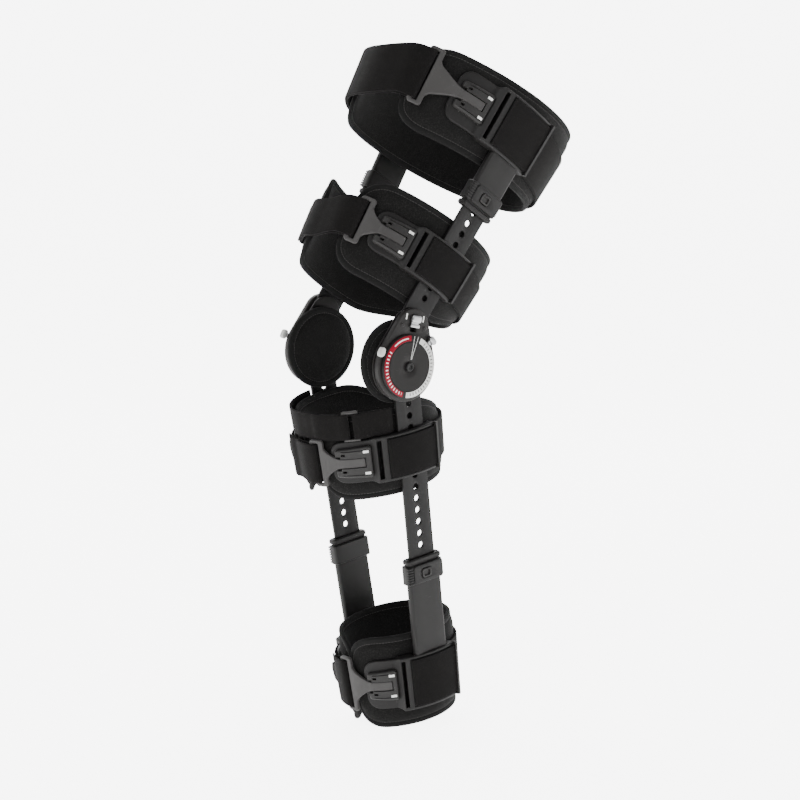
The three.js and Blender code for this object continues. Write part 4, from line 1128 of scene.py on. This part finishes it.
def sleeve_tube(bar, outer, inner, z0, z1, edge, button=None):
    """Tube along an upright past its bend, its rims rounded by edge, with a
    window round the button's height where one is given."""
    half_y, x0, x1, corner = outer
    small = tube_section(half_y - edge, x0 + edge, x1 - edge, corner)
    large = tube_section(*outer)
    bore = tube_section(*inner)
    levels = [(bore, z0), (small, z0), (large, z0 + edge), (large, z1 - edge), (small, z1), (bore, z1)]
    if button is not None:
        tall = BUTTON_LENGTH / 2 + BUTTON_ROOM
        levels[3:3] = [(large, button - tall), (large, button + tall)]
        levels += [(bore, button + tall), (bore, button - tall)]
    bm = bmesh.new()
    rows = []
    for loop, z in levels:
        spots = splayed([(BAR_INSIDE + x, y, z) for x, y in loop], bar)
        rows.append([bm.verts.new(spot) for spot in spots])
    count = len(bore)
    window = TUBE_STEPS + 1
    for level, (a, b) in enumerate(zip(rows, rows[1:] + rows[:1])):
        for i in range(count):
            j = (i + 1) % count
            if button is None or i != window or level not in (3, 8):
                bm.faces.new((a[i], a[j], b[j], b[i]))
    if button is not None:
        face, behind = [(rows[a][window], rows[a][window + 1], rows[b][window + 1], rows[b][window])
                        for a, b in ((3, 4), (9, 8))]
        for i in range(4):
            bm.faces.new((face[i - 1], face[i], behind[i], behind[i - 1]))
    return bm


for cuff in CUFFS:
    bar = BARS[cuff.upright]
    kind = "sleeve_plate" if cuff.mouth else "plate"
    for side, mirror in SIDES.items():
        shape = plate_shape(cuff)
        if cuff.mouth:
            way = math.copysign(1, bar["end"])
            z0, z1 = sorted((cuff.mouth, cuff.z - way * (cuff.strap - SLEEVE_SHORT)))
            button = cuff.mouth + way * (CLIP_START + CLIP_LENGTH / 2)
            tube = (SLEEVE_HALF, TUBE_BACK, TUBE_FACE, SLEEVE_CORNER)
            joined(shape, sleeve_tube(bar, tube, BORE, z0, z1, SLEEVE_EDGE, button))
            z0, z1 = sorted((cuff.mouth, cuff.mouth + way * SLEEVE_LIP))
            lip = (SLEEVE_HALF + SLEEVE_LIP_OVER, TUBE_BACK - SLEEVE_LIP_OVER,
                   TUBE_FACE + SLEEVE_LIP_OVER, LIP_CORNER)
            joined(shape, sleeve_tube(bar, lip, BORE, z0, z1, LIP_EDGE))
        made = piece(f"{cuff.name}_{side}_{kind}_moulding", shape, cuff.upright, PLATE_CHARCOAL,
                     mirror, 38)
        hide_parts(f"{cuff.name}_{side}_{kind}")
        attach(made, cuff.upright)


# Sleeve clips: a black band snapped round each sleeve near its open end, with
# grip ribs along its front edge and a window for the push button, whose pin
# sets the length by dropping into a hole of the bar.
CLIP_WALL, CLIP_GROW = 2.0, 2.2
CLIP_RIBS, RIB_HALF, RIB_FROM_END = 7, 0.75, 1.8
RIB_OVER, RIB_LONG = 1.9, 4.0
COVER_START, COVER_OVER = 4.5, 1.2
BUTTON_RISE = 0.9
BUTTON_RIM = 1.7
CLIP_BLACK = hard_material("clip_black", (0.008, 0.0076, 0.0074), (0.09, 0.09, 0.09), 0.42, 0.0006, 0.4)
BUTTON_GREY = hard_material("button_grey", (0.018, 0.017, 0.0165), (0.12, 0.12, 0.12), 0.4, 0.0006, 0.5)
clip_half = SLEEVE_HALF + CLEARANCE
clip_back, clip_under = TUBE_BACK - CLEARANCE, TUBE_FACE + CLEARANCE
clip_face = BAR_INSIDE + clip_under + CLIP_GROW


def on_sleeve(bm, bar, z):
    """Moves a flat piece, drawn about height 0, on to a sleeve."""
    spots = splayed([(v.co.x, v.co.y, v.co.z + z) for v in bm.verts], bar)
    for vert, spot in zip(bm.verts, spots):
        vert.co = spot
    return bm


def button_box(grow, corner):
    wide, tall = BUTTON_HALF + grow, BUTTON_LENGTH / 2 + grow
    return rounded_box(-wide, wide, -tall, tall, corner)


def clip_shape(bar, low, high):
    middle, tall = (low + high) / 2, (high - low) / 2 - 0.3
    band = sleeve_tube(bar, (clip_half + CLIP_WALL, clip_back - CLIP_WALL, clip_under + 0.9, 2.6),
                       (clip_half, clip_back, clip_under, 2.4), low, high, 0.6, middle)
    cover = cut_sheet(rounded_box(COVER_START - clip_half, clip_half + COVER_OVER, -tall, tall, 3.0),
                      BAR_INSIDE + clip_under - 0.2, clip_face, 0.7, [button_box(BUTTON_ROOM, 2.4)])
    joined(band, on_sleeve(cover, bar, middle))
    for z in np.linspace(low + RIB_FROM_END, high - RIB_FROM_END, CLIP_RIBS):
        outline = rounded_box(-clip_half - RIB_OVER, RIB_LONG - clip_half, -RIB_HALF, RIB_HALF, 0.5)
        rib = cut_sheet(outline, BAR_INSIDE + clip_back + 1, clip_face - 0.4, 0.35)
        joined(band, on_sleeve(rib, bar, z))
    return band


for cuff in CUFFS:
    if not cuff.mouth:
        continue
    bar = BARS[cuff.upright]
    way = math.copysign(1, bar["end"])
    low, high = sorted((cuff.mouth + way * CLIP_START, cuff.mouth + way * (CLIP_START + CLIP_LENGTH)))
    for side, mirror in SIDES.items():
        made = piece(f"{cuff.name}_{side}_clip_band", clip_shape(bar, low, high), cuff.upright,
                     CLIP_BLACK, mirror, 38)
        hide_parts(f"{cuff.name}_{side}_clip")
        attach(made, cuff.upright)
        button = cut_sheet(button_box(0, 2.2), clip_face - 1.9, clip_face + BUTTON_RISE, 0.4,
                           [button_box(-BUTTON_RIM, 1.4)])
        joined(button, cut_sheet(button_box(0, 2.2), clip_face - 2.0, clip_face - 0.7, 0.2))
        made = piece(f"{cuff.name}_{side}_push_button", on_sleeve(button, bar, (low + high) / 2),
                     cuff.upright, BUTTON_GREY, mirror, 38)
        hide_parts(f"{cuff.name}_{side}_button")
        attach(made, f"{cuff.name}_{side}_button")


# Catches: charcoal moulded levers on the outer plates. A channel takes the
# hook's tongue, two square holes and a groove leave the lever free to bend, and
# a white mark at each back corner shows where to press.
CATCH_FROM, CATCH_TO = 43.0, 77.0
CATCH_HALF, CATCH_RISE = 16.0, 4.6
CATCH_END = 3.4
CATCH_NARROW, CATCH_ROUND = 0.86, 2.2
CATCH_FRONT_R, CATCH_BACK_R = 2.6, 3.0
NOSE_DROP, NOSE_RAMP = 0.8, 14
TONGUE_TIP, TONGUE_ROOT, TONGUE_HALF = 49.0, 72.0, 4.6
CHANNEL_HALF, HOLE_HALF = 7.2, 9.6
GROOVE = (12.1, 12.9)
GROOVE_DEEP = 1.6
MARK_FROM, MARK_TO, MARK_WIDE = 7.5, 2.4, 2.4
MARK_STARTS = (-11.9, 9.5)
ON_PLATE = PAD_THICK + PLATE_SKIN + CLEARANCE
CATCH_GREY = hard_material("catch_grey", (0.0185, 0.0178, 0.0174), (0.11, 0.11, 0.11), 0.46,
                           0.0007, 0.4)


def catch_shape(cuff):
    front, back = -CATCH_TO * cuff.reach, -CATCH_FROM * cuff.reach
    root, tip = -TONGUE_ROOT * cuff.reach + 0.5, -TONGUE_TIP * cuff.reach + 0.5
    hole_from, hole_to = root + 0.7, root + 4.7
    tongue = TONGUE_HALF + 0.5
    close = (0.3, 0.8, 1.6)
    stations = with_breaks(front, back, 2.0, [root, hole_from, hole_to, tip, back - CATCH_END], 0.1,
                           near_ends(front, back, close))
    share = (stations - front) / (back - front)
    half = CATCH_HALF * (CATCH_NARROW + (1 - CATCH_NARROW) * share)
    half -= edge_drop(stations - front, CATCH_FRONT_R) + edge_drop(back - stations, CATCH_BACK_R)
    half = half[:, None]
    breaks = [way * b for b in (tongue, CHANNEL_HALF, HOLE_HALF, *GROOVE) for way in (-1, 1)]
    rows = with_breaks(-CATCH_HALF, CATCH_HALF, 1.6, breaks, 0.1,
                       near_ends(-CATCH_HALF, CATCH_HALF, close))
    aside = np.abs(rows)
    beyond = np.clip((aside - HOLE_HALF) / (CATCH_HALF - HOLE_HALF), 0, 1)
    heights = np.sign(rows) * (np.minimum(aside, HOLE_HALF) + beyond * (half - HOLE_HALF))
    station = stations[:, None]
    inset = np.minimum(np.minimum(half - np.abs(heights), station - front), back - station)
    drop = NOSE_DROP * (1 - ease((station - front) / NOSE_RAMP))
    outer = ON_PLATE + CATCH_RISE - edge_drop(inset, CATCH_ROUND) - drop
    along_groove = (station > hole_from) & (station < back - CATCH_END)
    outer -= GROOVE_DEEP * (along_groove & (aside > GROOVE[0]) & (aside < GROOVE[1]))
    cell, row = mids(station), np.abs(mids(rows))
    channel = (cell < root) & (row < CHANNEL_HALF) | (cell < tip) & (row < tongue)
    square = (cell > hole_from) & (cell < hole_to) & (row > CHANNEL_HALF) & (row < HOLE_HALF)
    shape = slab(cuff, stations, heights, ON_PLATE, outer, ~(channel | square))[0]
    for low in MARK_STARTS:
        mark = block_slab(cuff, np.linspace(back - MARK_FROM, back - MARK_TO, 4), low, low + MARK_WIDE,
                          ON_PLATE + 3, ON_PLATE + CATCH_RISE + 0.15)
        joined(shape, mark, finish=1)
    return shape


for cuff in CUFFS:
    made = piece(f"{cuff.name}_release_catch", catch_shape(cuff), cuff.upright, CATCH_GREY, 1, 38)
    made.data.materials.append(PRINT_WHITE)
    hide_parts(f"{cuff.name}_catch")
    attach(made, cuff.upright)


# Hooks: grey mouldings. A loop with rounded ears holds the front strap, and a
# curved neck narrows to the tongue that snaps into the catch.
EAR_OVER, EAR_FRONT_R, EAR_BACK_R = 4.0, 4.0, 3.0
NECK_SHARE, NECK_CURVE = 0.5, 0.8
FILLET_SHARE, FILLET_LONG = 0.15, 1.8
TONGUE_ROUND, TONGUE_LIFT, TONGUE_RAMP = 1.4, 0.9, 4
HOOK_ROUND = 1.0
HOOK_GREY = hard_material("hook_grey", (0.042, 0.0404, 0.0396), (0.16, 0.16, 0.16), 0.48, 0.0007, 0.4)


def hook_shape(cuff):
    wide = cuff.strap + EAR_OVER
    window = cuff.strap + 0.6
    neck = -cuff.loop
    rear = neck - HOOK_BAR
    slot = rear - HOOK_SLOT
    front = slot - HOOK_BAR
    root, tip = -TONGUE_ROOT * cuff.reach, -TONGUE_TIP * cuff.reach

    def half_at(station):
        ears = wide - edge_drop(station - front, EAR_FRONT_R) - edge_drop(neck - station, EAR_BACK_R)
        narrowing = ease((station - neck) / (root - neck)) ** NECK_CURVE
        stem = NECK_SHARE * wide + (TONGUE_HALF - NECK_SHARE * wide) * narrowing
        fillet = np.exp(-np.maximum(station - neck, 0) / FILLET_LONG)
        stem += FILLET_SHARE * wide * fillet * (1 - narrowing)
        return np.where(station <= neck, ears, stem) - edge_drop(tip - station, TONGUE_ROUND)

    close = (0.2, 0.5, 1.0, 1.8, 3.0)
    more = near_ends(front, neck, close) + [neck + d for d in close]
    more += near_ends(rear, tip, close[:3]) + [slot - d for d in close[:3]]
    stations = with_breaks(front, tip, 1.6, [slot, rear, neck], 0.05, more)
    more = near_ends(-wide, wide, close[:3]) + near_ends(-window, window, (-0.5, -1.0))
    rows = with_breaks(-wide, wide, 2.4, [-window, window], 0.05, more) / wide
    half = half_at(stations)
    heights = half[:, None] * rows
    station = stations[:, None]
    fine, across = np.linspace(front, tip, 600), np.linspace(-1, 1, 120)
    lines = [(place, across * reach) for place, reach in
             ((front, half[0]), (tip, half[-1]), (slot, window), (rear, window))]
    stem = NECK_SHARE + FILLET_SHARE
    for way in (-1, 1):
        lines += [(fine, way * half_at(fine)), (np.linspace(slot, rear, 20), way * window),
                  (neck, way * np.linspace(stem * wide, wide - EAR_BACK_R, 40))]
    inset = to_edge(joined_lines(*lines), np.stack(np.broadcast_arrays(station, heights), -1))[1]
    lift = TONGUE_LIFT * ease((station - root + TONGUE_RAMP) / TONGUE_RAMP)
    outer = ON_PLATE + HOOK_THICK + lift - edge_drop(inset, HOOK_ROUND)
    cell = mids(station)
    gap = (cell > slot) & (cell < rear) & (np.abs(mids(rows) * wide) < window)
    return slab(cuff, stations, heights, ON_PLATE, outer, ~gap)[0]


for cuff in CUFFS:
    made = piece(f"{cuff.name}_strap_hook", hook_shape(cuff), cuff.upright, HOOK_GREY, 1, 38)
    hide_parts(f"{cuff.name}_hook")
    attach(made, cuff.upright)


# Tibial strap: a narrower strap of the same webbing above the upper calf's
# main one, across the front from one liner end to the other. On the outer side
# its two lengths turn round the bars of a moulded slide ring.
TIBIAL_HEIGHT, TIBIAL_HALF, TIBIAL_END = 36.0, 12.5, 19.0
RING_FROM, RING_TO = -66.0, -51.0
RING_BAR, RING_WALL, RING_ROUND = 3.2, 2.0, 0.9
LIFT_FROM, LIFT_EASE = 34, 8
calf_cuff = CUFFS[2]
ring_low = STRAP_BED + STRAP_THICK + 0.5
ring_high = ring_low + RING_WALL
tibial_under = on_pads(calf_cuff, 0)


def to_ring(start, edge, way):
    """Path of a strap from its sewn end to a ring bar, over it and back under
    itself; way points to the open middle of the ring from the bar's far edge."""
    points = []
    for station in np.arange(start, edge - way * 9, way * PATH_STEP):
        lifted = (STRAP_THICK + LAYER_GAP) * ease((way * (station - edge) + LIFT_FROM) / LIFT_EASE)
        points.append((station, tibial_under(station) + STRAP_MID + lifted))
    bed = STRAP_BED + STRAP_MID
    over = ring_high + 0.3 + STRAP_MID
    turn = RING_BAR + 0.4 + STRAP_MID
    bar_path = ((-5, bed + STRAP_THICK + 0.9), (-1.5, over - 0.4), (0.8, over), (RING_BAR - 0.5, over),
                (turn, over - 0.5), (turn + 0.2, (bed + over) / 2), (turn, bed + 0.5),
                (RING_BAR - 0.5, bed), (-4, bed), (-22, bed))
    return smooth_path(points + [(edge + way * along, out) for along, out in bar_path], 2.0)


def ring_shape(cuff):
    window = TIBIAL_HALF + CLEARANCE
    tall = window + RING_WALL
    close = (0.2, 0.5, 0.9)
    open_from, open_to = RING_FROM + RING_BAR, RING_TO - RING_BAR
    stations = with_breaks(RING_FROM, RING_TO, 1.5, [open_from, open_to], 0.05,
                           near_ends(RING_FROM, RING_TO, close))
    rows = with_breaks(-tall, tall, 3.0, [-window, window], 0.05, near_ends(-tall, tall, close))
    station = stations[:, None]
    heights = np.repeat(TIBIAL_HEIGHT + rows[None, :], len(stations), 0)
    inset = np.minimum(tall - np.abs(rows), np.minimum(station - RING_FROM, RING_TO - station))
    cell = mids(station)
    gap = (cell > open_from) & (cell < open_to) & (np.abs(mids(rows)) < window)
    shape = slab(cuff, stations, heights, ring_low, ring_high - edge_drop(inset, RING_ROUND), ~gap)[0]
    for low in (TIBIAL_HEIGHT - tall + 0.1, TIBIAL_HEIGHT + window + 0.05):
        joined(shape, block_slab(cuff, stations[3:-3], low, low + RING_WALL - 0.15, STRAP_BED,
                                 ring_low + 0.2))
    return shape


webbing, plan = bmesh.new(), []
for path, run in (to_ring(TIBIAL_END - calf_cuff.ahead, RING_FROM, 1),
                  to_ring(-TIBIAL_END, RING_TO, -1)):
    length, laid = ribbon(calf_cuff, path, run, TIBIAL_HEIGHT, TIBIAL_HALF)
    joined(webbing, length)
    plan += laid
made = piece("tibial_webbing", webbing, "calf", STRAP_CLOTH, 1, 60, plan)
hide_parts("tibial_strap")
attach(made, "calf")
made = piece("tibial_slide_ring", ring_shape(calf_cuff), "calf", HOOK_GREY, 1, 38)
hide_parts("tibial_strap_ring")
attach(made, "calf")
